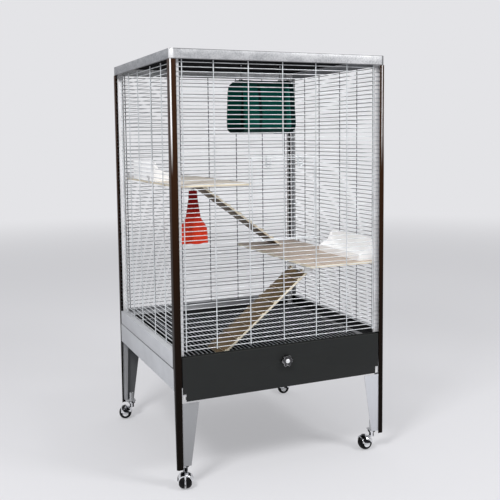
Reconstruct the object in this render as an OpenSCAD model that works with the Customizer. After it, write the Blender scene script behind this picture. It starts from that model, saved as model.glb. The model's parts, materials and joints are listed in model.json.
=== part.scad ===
// Ferret cage on casters: wire cabinet, folded steel stand, drop-front litter drawer,
// two shelves with ramps, hanging tunnel and pouch, clip-on feed trays.
// Millimetres, +Z up, front towards -Y, origin on the floor under the middle of the cabinet.

/* [Cabinet] */
// Outer width over the corner posts
cage_w = 800; // [720:1:900]
// Outer depth over the corner posts
cage_d = 740; // [700:1:820]
// Height from the floor to the top of the roof band
cage_h = 1440; // [1410:1:1600]
// Thickness of the folded steel sheet
sheet = 2; // [1.5:0.1:2.4]
// Gap left where two fixed pieces meet
seat = 0.1; // [0.05:0.05:0.2]
// Gap under and beside pieces that lift, swing or slide
slack = 0.3; // [0.2:0.05:0.5]
// Radial clearance of a pin in its hole
pin_play = 0.05; // [0.02:0.01:0.1]

/* [Roof] */
// Height of the roof band
band_h = 33; // [26:1:45]
// Corner radius of the roof band
band_r = 18; // [12:1:26]
// Width of the band's inward flange
band_flange = 16; // [12:1:24]
// Drop of the roof panel's top below the band's top edge
band_drop = 3; // [2.5:0.5:6]
// Thickness of the roof panel
roof_t = 3; // [2:0.5:5]

/* [Corner posts] */
// Width of a post's flange on the front and rear faces
post_w = 21; // [18:1:26]
// Width of a post's flange on the side faces, above the stand
post_side_w = 29; // [22:1:36]
// How much narrower that flange is where it starts to taper down the leg
post_low_step = 6; // [4:1:10]
// Outer corner radius of a post
post_r = 8; // [4:0.5:10]
// Reach of the inner liner from the cabinet's side face
liner_reach = 35; // [31:1:40]
// Width of the liner's flange along the side panel
liner_side_w = 18; // [12:1:26]

/* [Wire panels] */
// Distance between the horizontal wires
wire_pitch = 15.15; // [14:0.05:18]
// Diameter of the horizontal wires
wire_d = 2.6; // [2:0.1:3]
// Diameter of the upright wires
upright_d = 3.6; // [3:0.1:4]
// Height of the lowest horizontal wire above the rail top
first_wire = 4.4; // [3:0.1:8]
// Depth of the front and rear wire planes behind the outer face
front_inset = 14; // [12.5:0.5:16]
// Depth of the side wire planes behind the outer face
side_inset = 23; // [20:0.5:26]
// Distance of the inner front uprights from the middle
upright_1 = 126; // [110:1:140]
// Distance of the next front uprights from the middle
upright_2 = 249; // [200:1:270]
// Distance of the outer front uprights from the side face
upright_edge = 43; // [40:1:60]
// Distance of the inner side uprights from the middle
side_upright_1 = 83; // [60:1:100]
// Distance of the outer side uprights from the middle
side_upright_2 = 210; // [180:1:240]
// Distance of the edge side uprights from the front or rear face
side_upright_edge = 50; // [42:1:70]

/* [Stand] */
// Top of the stand, where the base rails sit
stand_top = 402; // [380:1:430]
// Height of the base rails
rail_h = 53; // [45:1:60]
// Height of the front rail behind the drawer front
rail_front_h = 40; // [34:1:43]
// Height of the aprons below the rails
apron_h = 74; // [60:1:78]
// Inward reach of the side flanges that carry the grate
ledge = 38; // [34:1:42]
// Inward reach of the front and rear flanges
ledge_end = 28.8; // [26:0.2:28.8]
// Width of a leg's front or rear plate at its top
leg_top_w = 87; // [70:1:110]
// Width of a leg's front or rear plate at its foot
leg_foot_w = 50; // [46:1:60]
// Distance of a leg's web from the side face
leg_web_in = 11; // [10:1:14]
// Depth of a leg's web, from the front or rear face to its inner fold
leg_web_d = 20; // [16:1:21]
// Reach of a leg's inner fold from the side face, at its top
leg_fold_top_w = 28; // [22:1:40]
// Reach of a leg's inner fold from the side face, at its foot
leg_fold_foot_w = 21; // [18:1:27]
// Gap between the drawer front and the top of the leg's front plate
leg_gap = 6; // [5:1:20]
// Distance of a caster stem from the side face
caster_in_x = 35; // [32:1:40]
// Distance of a caster stem from the front or rear face
caster_in_y = 26; // [22:1:32]
// Height of a leg's lower end above the end of its post
leg_up = 10; // [7:1:14]
// Thickness of the foot plate
foot_t = 3; // [2:0.5:5]
// Length of the caster socket tube
socket_len = 34; // [28:1:48]
// Outer diameter of the caster socket tube
socket_d = 16; // [13:1:18]

/* [Casters] */
// Wheel diameter
wheel_d = 50; // [44:1:54]
// Width of one of the twin wheels
wheel_w = 19; // [14:1:21]
// Space between the twin wheels
wheel_gap = 5.4; // [4.6:0.2:8]
// Height from the floor to the end of the posts
caster_h = 62; // [61:1:70]
// Distance from the swivel axis to the axle
trail = 27; // [24:1:31]
// Diameter of the swivel stem
stem_d = 8; // [6:0.5:10]
// Diameter of the axle
axle_d = 6; // [4:0.5:8]
// Thickness of the hood
hood_t = 2.4; // [1.6:0.2:3]

/* [Grate] */
// Height of the grate frame's skirt below its lip
skirt_h = 16; // [8:1:18]
// Distance between the grate wires
grate_pitch = 16; // [14:0.5:20]
// Diameter of the grate wires
grate_d = 3; // [2.4:0.1:4]
// Diameter of the cross wires under the grate
cross_d = 4; // [3:0.1:5]

/* [Litter drawer] */
// Height of the drawer front
flap_h = 148; // [130:1:156]
// Gap between the drawer front's top edge and the front rail's top
flap_below_rail = 2; // [1:0.5:6]
// Gap between the drawer front and the posts
flap_side_gap = 3; // [2:0.5:6]
// Height of the litter tray
tray_h = 48; // [40:1:50]
// Wall thickness of the litter tray
tray_wall = 2.4; // [1.6:0.2:4]
// Gap between the litter tray and the corner posts
tray_side_gap = 10; // [8:0.5:16]
// Height of the runners' ledge above the aprons' lower edge
runner_up = 2; // [0:0.5:6]
// Inward reach of the runners
runner_reach = 50; // [44:1:60]
// Height of the flap's pin above its lower edge
pin_up = 9; // [8:0.5:12]
// Diameter of the flap pins
pin_d = 4; // [3:0.5:5]
// Outer diameter of the flap's knuckles
knuckle_d = 9; // [7.5:0.5:10]
// Width of the notches in the flap's lower corners
notch_w = 12; // [10:1:14]
// Height of the notches in the flap's lower corners
notch_h = 25; // [20:1:30]
// Diameter of the turn knob
knob_d = 40; // [30:1:46]
// Depth of the turn knob
knob_t = 14; // [10:1:18]
// Diameter of the knob's shaft
shaft_d = 8; // [6:0.5:10]
// Height of the knob's axis above the litter tray's rim
knob_above_tray = 7; // [6.5:0.5:9]
// Length of the cam from the shaft's axis
cam_len = 19; // [15:1:24]
// Width of the cam
cam_w = 8; // [6:0.5:9]
// Thickness of the cam
cam_t = 2; // [1.5:0.1:3]

/* [Front door] */
// Half width of the door
door_half_w = 120; // [100:1:122]
// Wire rows below the door
rows_below_door = 24; // [20:1:26]
// Wire rows that the doorway leaves out
door_rows = 18; // [14:1:20]
// Distance of the latches from the middle
latch_x = 60; // [40:1:80]
// Diameter of the latch bolts
bolt_d = 4; // [3:0.5:4.5]
// Height of the latch handles
handle_h = 30; // [20:1:36]
// Width of the latch handles
handle_w = 18; // [14:1:24]

/* [Shelves] */
// Thickness of the shelf boards
board_t = 9; // [6:0.5:14]
// Gap between a shelf board and the side liner
board_gap = 0.4; // [0.3:0.1:1]
// Height of the upper shelf's top
shelf_upper_z = 1005; // [960:1:1018]
// Distance of the upper shelf's free edge left of the middle
shelf_upper_edge = 118; // [80:1:140]
// Distance of the upper shelf's rear edge behind the middle
shelf_upper_back = 300; // [290:1:340]
// Height of the lower shelf's top
shelf_lower_z = 705; // [690:1:714]
// Distance of the lower shelf's free edge right of the middle
shelf_lower_edge = 110; // [80:1:140]
// Distance of the lower shelf's rear edge behind the middle
shelf_lower_back = 315; // [290:1:340]
// Gap between the shelves' front edges and the front liner
board_front_gap = 2.6; // [1:0.1:8]
// Length of the brackets under the shelves
bracket_len = 110; // [60:1:160]
// Width of the brackets under the shelves
bracket_w = 14; // [10:1:20]

/* [Ramps] */
// Width of the ramps
ramp_w = 130; // [90:1:150]
// Thickness of the ramp boards
ramp_t = 8; // [6:0.5:10]
// Length of the upper ramp
ramp_upper_len = 442; // [410:1:460]
// Length of the lower ramp
ramp_lower_len = 418; // [395:1:440]
// Distance of the upper ramp's middle from the rear face
ramp_upper_in = 150; // [145:1:190]
// Distance of the lower ramp's middle from the front face
ramp_lower_in = 120; // [115:1:170]
// Distance between the cleats
cleat_pitch = 60; // [40:1:80]
// Width of a cleat
cleat_w = 9; // [6:0.5:14]
// Height of a cleat
cleat_h = 4; // [2:0.5:5]
// Diameter of the ramp pins
ramp_pin_d = 5; // [4:0.5:6]
// Outer diameter of the ramp sleeves
sleeve_d = 10; // [8.5:0.5:12]
// Drop of the upper ramp's pin below the shelf's top
ramp_upper_drop = 25; // [22:1:34]
// Drop of the lower ramp's pin below the shelf's top
ramp_lower_drop = 25; // [22:1:34]
// Distance of the ramp pins past the shelves' free edges
pin_out = 6; // [4:0.5:9]

/* [Hanging toys] */
// Length of the tunnel
tunnel_len = 202; // [180:1:280]
// Height of the tunnel
tunnel_h = 198; // [140:1:220]
// Depth of the tunnel from front to back
tunnel_d = 172; // [120:1:200]
// Distance of the tunnel's middle right of the cabinet's middle
tunnel_x = 60; // [30:1:80]
// Distance of the tunnel's middle in front of the cabinet's middle
tunnel_y = 45; // [20:1:80]
// Wall of the tunnel
tunnel_wall = 5; // [3:0.5:8]
// Length of the tunnel's hangers between their eyes
hanger_len = 54; // [40:1:80]
// Distance between the tunnel's hangers
hanger_span = 160; // [120:1:170]
// Diameter of the hanger wire and of the pins that it swings on
hanger_d = 4; // [3:0.5:5]
// Height of the pouch
pouch_h = 175; // [120:1:200]
// Radius of the pouch at its hem
pouch_r = 50; // [36:1:56]
// Radius of the pouch's neck
pouch_neck_r = 13; // [10:0.5:18]
// Distance of the pouch left of the middle
pouch_x = 288; // [250:1:300]
// Distance of the pouch in front of the middle
pouch_y = 250; // [200:1:265]

/* [Feed trays] */
// Length of the upper feed tray
feed_upper_len = 271; // [200:1:300]
// Distance of the upper feed tray's middle behind the cabinet's middle
feed_upper_y = 58; // [20:1:80]
// Height of the upper feed tray's back
feed_upper_h = 75; // [60:1:85]
// Length of the lower feed tray
feed_lower_len = 300; // [220:1:300]
// Distance of the lower feed tray's middle in front of the cabinet's middle
feed_lower_y = 184; // [160:1:190]
// Height of the lower feed tray's back
feed_lower_h = 82; // [60:1:90]
// Depth of the feed trays
feed_d = 58; // [45:1:80]
// Wall of the feed trays
feed_wall = 2.4; // [1.6:0.2:4]
// Height of the feed trays' front lip
feed_lip = 24; // [16:1:36]
// Corner radius of the feed trays' backs
feed_r = 18; // [8:1:26]

/* [Hidden] */
$fn = 48;
bite = 0.5;                                   // overlap where two shapes of one piece join
half_w = cage_w / 2;
half_d = cage_d / 2;
// Roof
band_z = cage_h - band_h;                     // lower edge of the roof band
roof_z = cage_h - band_drop - roof_t;         // underside of the roof panel
flange_z = roof_z - seat - sheet;             // underside of the band's flange
roof_screw_d = 4;
roof_skin = 0.6;                              // roof left above the blind holes of its screws
screw_head_d = 8;
screw_head_h = 1.8;
roof_screw_in = 11;                           // distance of a roof screw from the outer face
roof_screw_share = 0.3;                       // place of the roof screws along each side
// Wires, measured inwards from the outer faces
rail_top = stand_top + rail_h;
wire_r = wire_d / 2;
upright_r = upright_d / 2;
weld = 0.05;                                  // gap at a welded crossing
row_0 = rail_top + first_wire;
last_row_gap = 2;                             // least gap between the last wire and the roof band
last_row = floor((band_z - wire_r - last_row_gap - row_0) / wire_pitch);
front_upright_in = front_inset - wire_r - upright_r - weld;
side_upright_in = side_inset - wire_r - upright_r - weld;
liner_in = front_inset + wire_r + weld;       // outer face of the liner behind the front wires
liner_side_in = side_inset + wire_r + weld;   // outer face of the liner inside the side wires
inner_half_w = half_w - liner_side_in - sheet;
inner_front = half_d - liner_in - sheet;      // inner face of the front and rear liners
liner_start = 12;                             // keeps the liner clear of the band's round corner
// Stand
apron_z = stand_top - apron_h;
flap_top = stand_top + rail_front_h - flap_below_rail;
flap_z = flap_top - flap_h;
leg_front_top = flap_z - leg_gap;
tab_w = 24;                                   // inner tab that joins a leg to its apron
post_low_side_w = post_side_w - post_low_step;
tab_y = post_side_w + 1;
tab_overlap = 24;
leg_foot_d = caster_in_y + socket_d / 2 + 3;  // depth of the foot plate
screw_d = 5;
bolt_head_d = 10;
bolt_head_h = 3;
screw_depth = 1.2;                            // depth of a stand screw in the apron
// Grate
lip_gap = 1.7;                                // gap between the grate's lip and the side liners
lip_gap_end = 0.7;                            // gap between the grate's lip and the end liners
skirt_gap = 2;                                // gap between the grate's skirt and the rails' ledges
lip_z = stand_top + sheet + seat;
grate_z = lip_z + sheet;                      // top of the lip
skirt_half_w = half_w - ledge - skirt_gap;
skirt_half_d = half_d - ledge_end - skirt_gap;
grate_top = grate_z + weld + grate_d;
cross_rows = 3;
// Drawer
runner_z = apron_z + runner_up;               // underside of the runner's ledge
tray_z = runner_z + sheet + slack;
tray_top = tray_z + tray_h;
runner_web_in = sheet + seat;                 // runner web against the apron
tray_half_w = half_w - post_w - tray_side_gap;
runner_web_h = 30;
runner_tab_gap = 4;                           // the runners' webs stop this far from the legs' tabs
tray_front_in = 12;                           // depth of the tray's front wall behind the flap's face
tray_rear_in = 22;
tray_front = half_d - tray_front_in;
tray_back = half_d - tray_rear_in;
flap_half_w = half_w - post_w - flap_side_gap;
flap_pin_in = 7.2;                            // depth of the flap's pin axis behind its face
flap_pin_z = flap_z + pin_up;
knuckle_len = 16;
knuckle_play = 1;                             // play of a knuckle between the ear and the notch
knuckle_rib = 4;                              // thickness of the rib that carries a knuckle
roll_d = 4;                                   // rolled top edge of the flap
ear_w = 8;
ear_d = 6;
pin_end = 1;                                  // pin end that stays inside the ear
ear_plate_w = 20;                             // width of the plate that joins an ear to the tray
ear_plate_up = 24;
ear_seat_y = post_side_w - 2 - half_d;        // rear end of the seat, in front of the runners
knob_z = tray_top + knob_above_tray;
knob_face = 1.2;                              // gap between knob and flap
cam_boss = 5;
cam_in = tray_wall + 1;                       // gap from the tray's front face to the cam
// Doorway
hinge_row = row_0 + (rows_below_door - 1) * wire_pitch;
door_in = front_upright_in - 2 * upright_r - weld;
hinge_z = hinge_row;
hook_d = 7;
door_bottom = hinge_z + hook_d / 2 + upright_r - bite;
upper_row = hinge_row + (door_rows + 1) * wire_pitch;
door_top_gap = 7.6;
door_top = upper_row - door_top_gap;
hook_x = 80;
hook_w = 6;
bolt_gap = 0.25;                              // gap between a bolt and the wires before it
guide_in = front_inset + wire_r + bolt_d / 2 + bolt_gap;
guide_h = 4.5;
guide_w = 9;
pin_row = hinge_row + (door_rows - 1) * wire_pitch;
latch_pin_d = 3;
latch_pin_gap = 0.2;
latch_pin_z = pin_row + wire_r + latch_pin_d / 2 + latch_pin_gap;
bolt_top_gap = 1.2;
bolt_top = upper_row - wire_r - bolt_top_gap;
handle_d = 3;
handle_gap = 0.6;                             // gap between a latch handle and the door
handle_up = 20;                               // height of a handle's shoulders above its pin
// Casters
wheel_r = wheel_d / 2;
wheel_clear = 1.4;                            // gap between wheel and hood
hub_r = 13;                                   // radius of a wheel's flat outer face
hub_rim = 1;                                  // width of the flat ring round the recess in that face
hub_deep = 2;
dome_power = 2.6;                             // above 2 a round side is fuller than an ellipse
// Share of a round side's reach at which a wheel is cut off flat, where its radius is the hub's
side_share = dome(hub_r / wheel_r);
collar_d = 18;
plate_d = 28;                                 // bearing plate under the leg
plate_t = 6;
plate_drop = 3;                               // gap between the leg and the bearing plate
leg_z = caster_h + leg_up;                    // underside of the leg and its foot plate
outer_r = wheel_r + wheel_clear + hood_t;      // outside of the hood
// The collar's inner edge ends in the middle of the hood's wall.
neck_z = wheel_r + sqrt(pow(outer_r - hood_t / 2, 2) - pow(trail - collar_d / 2, 2));
hood_reach = 0.7;                             // share of the wheel's radius that the hood covers behind
hood_up = 5;                                  // height of the hood's edge above the axle
web_r = 18;
web_play = 0.7;
corner_in_x = half_w - caster_in_x;
corner_in_y = half_d - caster_in_y;
// Direction in which each caster trails, front left, front right, rear left, rear right
trail_angle = [251.6, 174, 166, 160];
// Shelves
upper_hook_row = row_0 + ceil((shelf_upper_z + 1 - row_0) / wire_pitch) * wire_pitch;
lower_hook_row = row_0 + ceil((shelf_lower_z + 1 - row_0) / wire_pitch) * wire_pitch;
board_x = inner_half_w - board_gap;
board_front = inner_front - board_front_gap;
hook_ys = [-285, -20, 262];
hook_lip = 3;                                 // depth of a hook's lip below its wire
ear_t = 5;
ear_in = 22;                                  // reach of a ramp ear under its shelf
ear_out = 3.5;
ear_low = 4;                                  // depth of a ramp ear below its pin
ramp_tie_in = 20;                             // distance of the tie between the ears
ramp_tie_w = 10;
ramp_sleeve_len = 14;
ramp_sleeve_in = 22;
sleeve_sink = 1;                              // depth of a sleeve in its ramp board
staple_drop = 11;                             // depth of a staple's pin below what carries it
staple_w = 16;
staple_t = 3;
ramp_clear = 0.4;                             // gap under the foot of a ramp at rest
ramp_upper_y = half_d - ramp_upper_in;
ramp_lower_y = half_d - ramp_lower_in;
// Hanging toys
hang_z = roof_z - staple_drop;                // pin on which the tunnel swings
tunnel_top = hang_z - hanger_len;
tunnel_z = tunnel_top - tunnel_h;
pouch_pin_z = shelf_upper_z - board_t - seat - staple_drop;
pouch_drop = 6;
pouch_top = pouch_pin_z - pouch_drop;
eye_wall = 2.3;
eye_w = 4;
eye_d = hanger_d + 2 * eye_wall;
staple_lug = 2;                               // how much wider a lug is than its pin
staple_plate = 8;                             // how much wider the pouch's staple plate is
hanger_bite = 1;                              // depth of a hanger's rod in its eye
tunnel_pad_t = 2;
tunnel_pad_d = 14;
pouch_pad_t = 1.6;
pouch_pad_d = 12;

// ---- helpers ----

// Moves a piece drawn at the front left corner (x and y inwards) to any corner.
module at_corner(side, end) {
    translate([side * half_w, end * half_d, 0])
        mirror([side > 0 ? 1 : 0, 0, 0])
            mirror([0, end > 0 ? 1 : 0, 0])
                children();
}

module box(x1, x2, y1, y2, z1, z2) {
    translate([x1, y1, z1]) cube([x2 - x1, y2 - y1, z2 - z1]);
}

module rod_x(x1, x2, y, z, d) {
    translate([x1, y, z]) rotate([0, 90, 0]) cylinder(h = x2 - x1, d = d, $fn = 24);
}

module rod_y(y1, y2, x, z, d) {
    translate([x, y1, z]) rotate([-90, 0, 0]) cylinder(h = y2 - y1, d = d, $fn = 24);
}

module rod_z(z1, z2, x, y, d) {
    translate([x, y, z1]) cylinder(h = z2 - z1, d = d, $fn = 24);
}

module rounded_rect(w, d, r) {
    square([w - 2 * r, d], center = true);
    square([w, d - 2 * r], center = true);
    for (sx = [-1, 1], sy = [-1, 1]) translate([sx * (w / 2 - r), sy * (d / 2 - r)]) circle(r);
}

// Extrudes an outline drawn in x and z along y.
module extrude_y(y1, y2) {
    translate([0, y2, 0]) rotate([90, 0, 0]) linear_extrude(y2 - y1) children();
}

// Extrudes an outline drawn in y and z along x.
module extrude_x(x1, x2) {
    translate([x1, 0, 0]) rotate([90, 0, 90]) linear_extrude(x2 - x1) children();
}

// ---- roof ----

module band_ring(reach) {
    difference() {
        rounded_rect(cage_w, cage_d, band_r);
        rounded_rect(cage_w - 2 * reach, cage_d - 2 * reach, max(band_r - reach, 1));
    }
}

// Places children at the eight roof screws.
module roof_screw_places() {
    for (sx = [-1, 1], sy = [-1, 1]) {
        translate([sx * roof_screw_share * cage_w, sy * (half_d - roof_screw_in), 0]) children();
        translate([sx * (half_w - roof_screw_in), sy * roof_screw_share * cage_d, 0]) children();
    }
}

module top_band() {
    color("gainsboro") difference() {
        union() {
            translate([0, 0, band_z]) linear_extrude(band_h) band_ring(sheet);
            translate([0, 0, flange_z]) linear_extrude(sheet) band_ring(band_flange);
        }
        roof_screw_places() translate([0, 0, flange_z - 1])
            cylinder(h = sheet + 2, d = roof_screw_d + 2 * seat);
    }
}

module roof_panel() {
    inset = sheet + seat;
    color("black") difference() {
        union() {
            translate([0, 0, roof_z]) linear_extrude(roof_t)
                rounded_rect(cage_w - 2 * inset, cage_d - 2 * inset, band_r - inset);
            for (s = [-1, 1]) translate([tunnel_x + s * hanger_span / 2, -tunnel_y, roof_z + bite])
                staple();
        }
        roof_screw_places() translate([0, 0, roof_z - 1])
            cylinder(h = roof_t - roof_skin + 1, d = roof_screw_d + 2 * seat);
    }
}

// Two lugs with a pin along x, hanging from z = 0 and widened by the bite above it.
module staple() {
    for (s = [-1, 1]) translate([s * (staple_w - staple_t) / 2, 0, -staple_drop / 2])
        cube([staple_t, hanger_d + staple_lug, staple_drop + 2 * bite], center = true);
    translate([0, 0, -bite - staple_drop]) {
        rod_x(-staple_w / 2, staple_w / 2, 0, 0, hanger_d);
        for (s = [-1, 1]) rod_x(s * staple_w / 2 - (s > 0 ? staple_t : 0),
            s * staple_w / 2 + (s > 0 ? 0 : staple_t), 0, 0, hanger_d + staple_lug);
    }
}

// Pan head screws up into the roof, and stand screws through the legs' tabs into the aprons.
module cabinet_screws() {
    color("silver") {
        roof_screw_places() {
            rod_z(flange_z - seat - bite, roof_z + roof_t - roof_skin - seat, 0, 0, roof_screw_d);
            translate([0, 0, flange_z - seat - screw_head_h]) cylinder(h = screw_head_h, d = screw_head_d);
        }
        for (side = [-1, 1], end = [-1, 1]) at_corner(side, end) {
            rod_x(sheet - screw_depth, 2 * sheet + seat + bite, tab_y + tab_w / 2, tab_screw_z(), screw_d);
            rod_x(2 * sheet + 2 * seat, 2 * sheet + 2 * seat + bolt_head_h,
                tab_y + tab_w / 2, tab_screw_z(), bolt_head_d);
        }
    }
}

function tab_screw_z() = apron_z + tab_overlap / 2;

// ---- corner posts ----

module post_section(side_w) {
    translate([post_r - weld, 0]) square([post_w - post_r + weld, sheet]);
    intersection() {
        translate([post_r, post_r]) difference() {
            circle(post_r);
            circle(post_r - sheet);
        }
        square(post_r);
    }
    if (side_w > post_r) translate([0, post_r - weld]) square([sheet, side_w - post_r + weld]);
}

module post(side, end) {
    color("saddlebrown") at_corner(side, end) {
        translate([0, 0, stand_top]) linear_extrude(band_z - seat - stand_top) post_section(post_side_w);
        translate([0, 0, caster_h]) linear_extrude(stand_top - caster_h + weld) post_section(0);
        // the side flange tapers away down the leg
        extrude_x(0, sheet) polygon([[post_r - weld, caster_h], [post_r, caster_h],
            [post_low_side_w, stand_top + weld], [post_r - weld, stand_top + weld]]);
    }
}

// Liner: one flange behind the front wires, one inside the side wires.
module liner(side, end) {
    bottom = stand_top + sheet + seat;
    color("whitesmoke") at_corner(side, end) {
        box(liner_start, liner_reach, liner_in, liner_in + sheet, bottom, flange_z - seat);
        box(liner_side_in, liner_side_in + sheet, liner_in + sheet - weld,
            liner_in + sheet + liner_side_w, bottom, flange_z - seat);
    }
}

// ---- wire panels ----

// Horizontal wires of a side panel, and its uprights outside them.
module side_panel(side) {
    end = half_d - liner_in - sheet - seat;
    xs = side * (half_w - side_inset);
    xu = side * (half_w - side_upright_in);
    color("silver") {
        for (i = [0 : last_row]) rod_y(-end, end, xs, row_0 + i * wire_pitch, wire_d);
        for (s = [-1, 1], y = [side_upright_1, side_upright_2, half_d - side_upright_edge])
            rod_z(rail_top + seat, band_z - seat, xu, s * y, upright_d);
    }
}

// A stretch of a front or rear panel between two x values, over the given rows and uprights.
module wire_field(end, x1, x2, row_a, row_b, z1, z2, uprights) {
    yw = end * (half_d - front_inset);
    yu = end * (half_d - front_upright_in);
    for (i = [row_a : row_b]) rod_x(x1, x2, yw, row_0 + i * wire_pitch, wire_d);
    for (x = uprights) rod_z(z1, z2, x, yu, upright_d);
}

wire_end = half_w - sheet - 2 * seat;
upright_3 = half_w - upright_edge;
below = rows_below_door - 1;
above = rows_below_door + door_rows;

module panel_rear() {
    outer = [upright_1, upright_2, upright_3];
    color("silver") wire_field(1, -wire_end, wire_end, 0, last_row, rail_top + seat, band_z - seat,
        [0, each outer, each -outer]);
}

module grille_side(side) {
    inner = upright_1 - weld;
    color("silver") wire_field(-1, side > 0 ? inner : -wire_end, side > 0 ? wire_end : -inner,
        0, last_row, row_0 - first_wire + seat, band_z - seat,
        [side * upright_1, side * upright_2, side * upright_3]);
}

// Middle of the front panel under the door, with the rod that the door's hooks turn on.
module grille_lower() {
    inner = upright_1 - 2 * weld;
    color("silver") {
        wire_field(-1, -inner, inner, 0, below, row_0 - first_wire + seat, hinge_z - hook_d / 2, [0]);
        rod_x(-upright_1 - upright_r, upright_1 + upright_r, door_in - half_d, hinge_z, upright_d);
    }
}

module grille_upper() {
    inner = upright_1 - 2 * weld;
    color("silver") wire_field(-1, -inner, inner, above, last_row, upper_row - wire_r, band_z - seat, [0]);
}

// ---- base rails and stand ----

module rail_side(side) {
    start = post_side_w + seat;
    stop = cage_d - start;
    color("lightsteelblue") at_corner(side, -1) {
        box(0, sheet, start, stop, stand_top, rail_top);
        box(0, side_inset + wire_r - weld, start, stop, rail_top - sheet, rail_top);
        box(0, ledge, start, stop, stand_top, stand_top + sheet);
    }
}

module rail_rear() {
    start = post_w + seat;
    color("lightsteelblue") at_corner(-1, 1) {
        box(start, cage_w - start, 0, sheet, stand_top, rail_top);
        box(start, cage_w - start, 0, front_upright_in + upright_r, rail_top - sheet, rail_top);
        box(start, cage_w - start, 0, ledge_end, stand_top, stand_top + sheet);
    }
}

module rail_front() {
    face = front_inset - sheet / 2;
    start = sheet + seat;
    color("lightsteelblue") at_corner(-1, -1) {
        box(start, cage_w - start, face, face + sheet, stand_top, stand_top + rail_front_h);
        box(start, cage_w - start, face, ledge_end, stand_top, stand_top + sheet);
    }
}

module apron_side(side) {
    top = stand_top - seat;
    start = post_low_side_w + seat;
    flange = post_side_w + seat;
    color("silver") at_corner(side, -1) difference() {
        union() {
            box(0, sheet, start, cage_d - start, apron_z, top);
            box(0, ledge - seat, flange, cage_d - flange, top - sheet, top);
        }
        for (y = [tab_y + tab_w / 2, cage_d - tab_y - tab_w / 2])
            rod_x(sheet - screw_depth - seat, sheet + 1, y, tab_screw_z(), screw_d + 2 * seat);
    }
}

module apron_rear() {
    top = stand_top - seat;
    start = post_w + seat;
    color("silver") at_corner(-1, 1) {
        box(start, cage_w - start, 0, sheet, apron_z, top);
        box(start, cage_w - start, 0, ledge_end, top - sheet, top);
    }
}

// Tapered outline of a leg plate: first coordinate inwards from the corner, second upwards.
module leg_outline(start, foot_w, top_w, top) {
    share = (top - leg_z) / (apron_z - leg_z);
    polygon([[start, leg_z], [foot_w, leg_z],
        [foot_w + (top_w - foot_w) * share, top], [start, top]]);
}

// A folded channel: outer plate inside the post's flange, web, and an inner fold towards the cabinet.
module leg(side, end) {
    rear = end > 0;
    tab_top = apron_z + tab_overlap;
    outer = sheet + seat;
    inner = 2 * sheet + seat;
    web_end = leg_web_in + sheet;
    color("silver") at_corner(side, end) difference() {
        union() {
            extrude_y(outer, inner)
                leg_outline(post_r + seat, leg_foot_w, leg_top_w, rear ? tab_top : leg_front_top);
            box(leg_web_in, web_end, outer, leg_web_d, leg_z, tab_top);
            extrude_y(leg_web_d - sheet, leg_web_d)
                leg_outline(leg_web_in, leg_fold_foot_w, leg_fold_top_w, rear ? apron_z - seat : leg_front_top);
            // tab that reaches up behind the apron
            box(outer, web_end, leg_web_d - sheet, leg_web_d, apron_z + seat, tab_top);
            box(outer, inner, leg_web_d - sheet, tab_y + tab_w, apron_z + seat, tab_top);
            box(leg_web_in, leg_foot_w, outer, leg_foot_d, leg_z, leg_z + foot_t);
            rod_z(leg_z, leg_z + socket_len, caster_in_x, caster_in_y, socket_d);
        }
        translate([caster_in_x, caster_in_y, leg_z - 1])
            cylinder(h = socket_len + 2, d = stem_d + 2 * pin_play);
        rod_x(sheet, 3 * sheet, tab_y + tab_w / 2, tab_screw_z(), screw_d + 2 * seat);
    }
}

// Two angles inside the aprons that carry the litter tray.
module tray_runners() {
    tab_end = tab_y + tab_w + runner_tab_gap;
    color("silver") for (side = [-1, 1]) at_corner(side, -1) {
        box(runner_web_in, runner_web_in + sheet, tab_end, cage_d - tab_end,
            runner_z, runner_z + runner_web_h);
        box(runner_web_in, runner_reach, tab_end, cage_d - tab_end, runner_z, runner_z + sheet);
        box(2 * sheet + seat + slack, runner_reach, post_side_w, cage_d - post_side_w,
            runner_z, runner_z + sheet);
    }
}

// ---- grate ----

module grate_frame() {
    lip_half_w = inner_half_w - lip_gap;
    lip_half_d = inner_front - lip_gap_end;
    color("black") difference() {
        union() {
            box(-lip_half_w, lip_half_w, -lip_half_d, lip_half_d, lip_z, grate_z);
            box(-skirt_half_w, skirt_half_w, -skirt_half_d, skirt_half_d, lip_z - skirt_h, grate_z);
        }
        box(sheet - skirt_half_w, skirt_half_w - sheet, sheet - skirt_half_d, skirt_half_d - sheet,
            lip_z - skirt_h - 1, grate_z + 1);
    }
}

module grate_wires() {
    wire_z = grate_z + weld + grate_d / 2;
    span_x = inner_half_w - lip_gap - grate_d;
    span_y = inner_front - lip_gap;
    count = floor(span_x / grate_pitch);
    cross_x = skirt_half_w - sheet - weld;
    color("silver") {
        for (i = [-count : count]) rod_y(-span_y, span_y, i * grate_pitch, wire_z, grate_d);
        for (i = [1 : cross_rows]) rod_x(-cross_x, cross_x, (i / (cross_rows + 1) - 0.5) * 2 * span_y,
            grate_z - cross_d / 2, cross_d);
    }
}

// ---- litter drawer ----

module litter_tray() {
    inner = tray_half_w - tray_wall;
    color("dimgray") difference() {
        box(-tray_half_w, tray_half_w, -tray_front, tray_back, tray_z, tray_top);
        box(-inner, inner, tray_wall - tray_front, tray_back - tray_wall,
            tray_z + tray_wall, tray_top + 1);
    }
}

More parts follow.
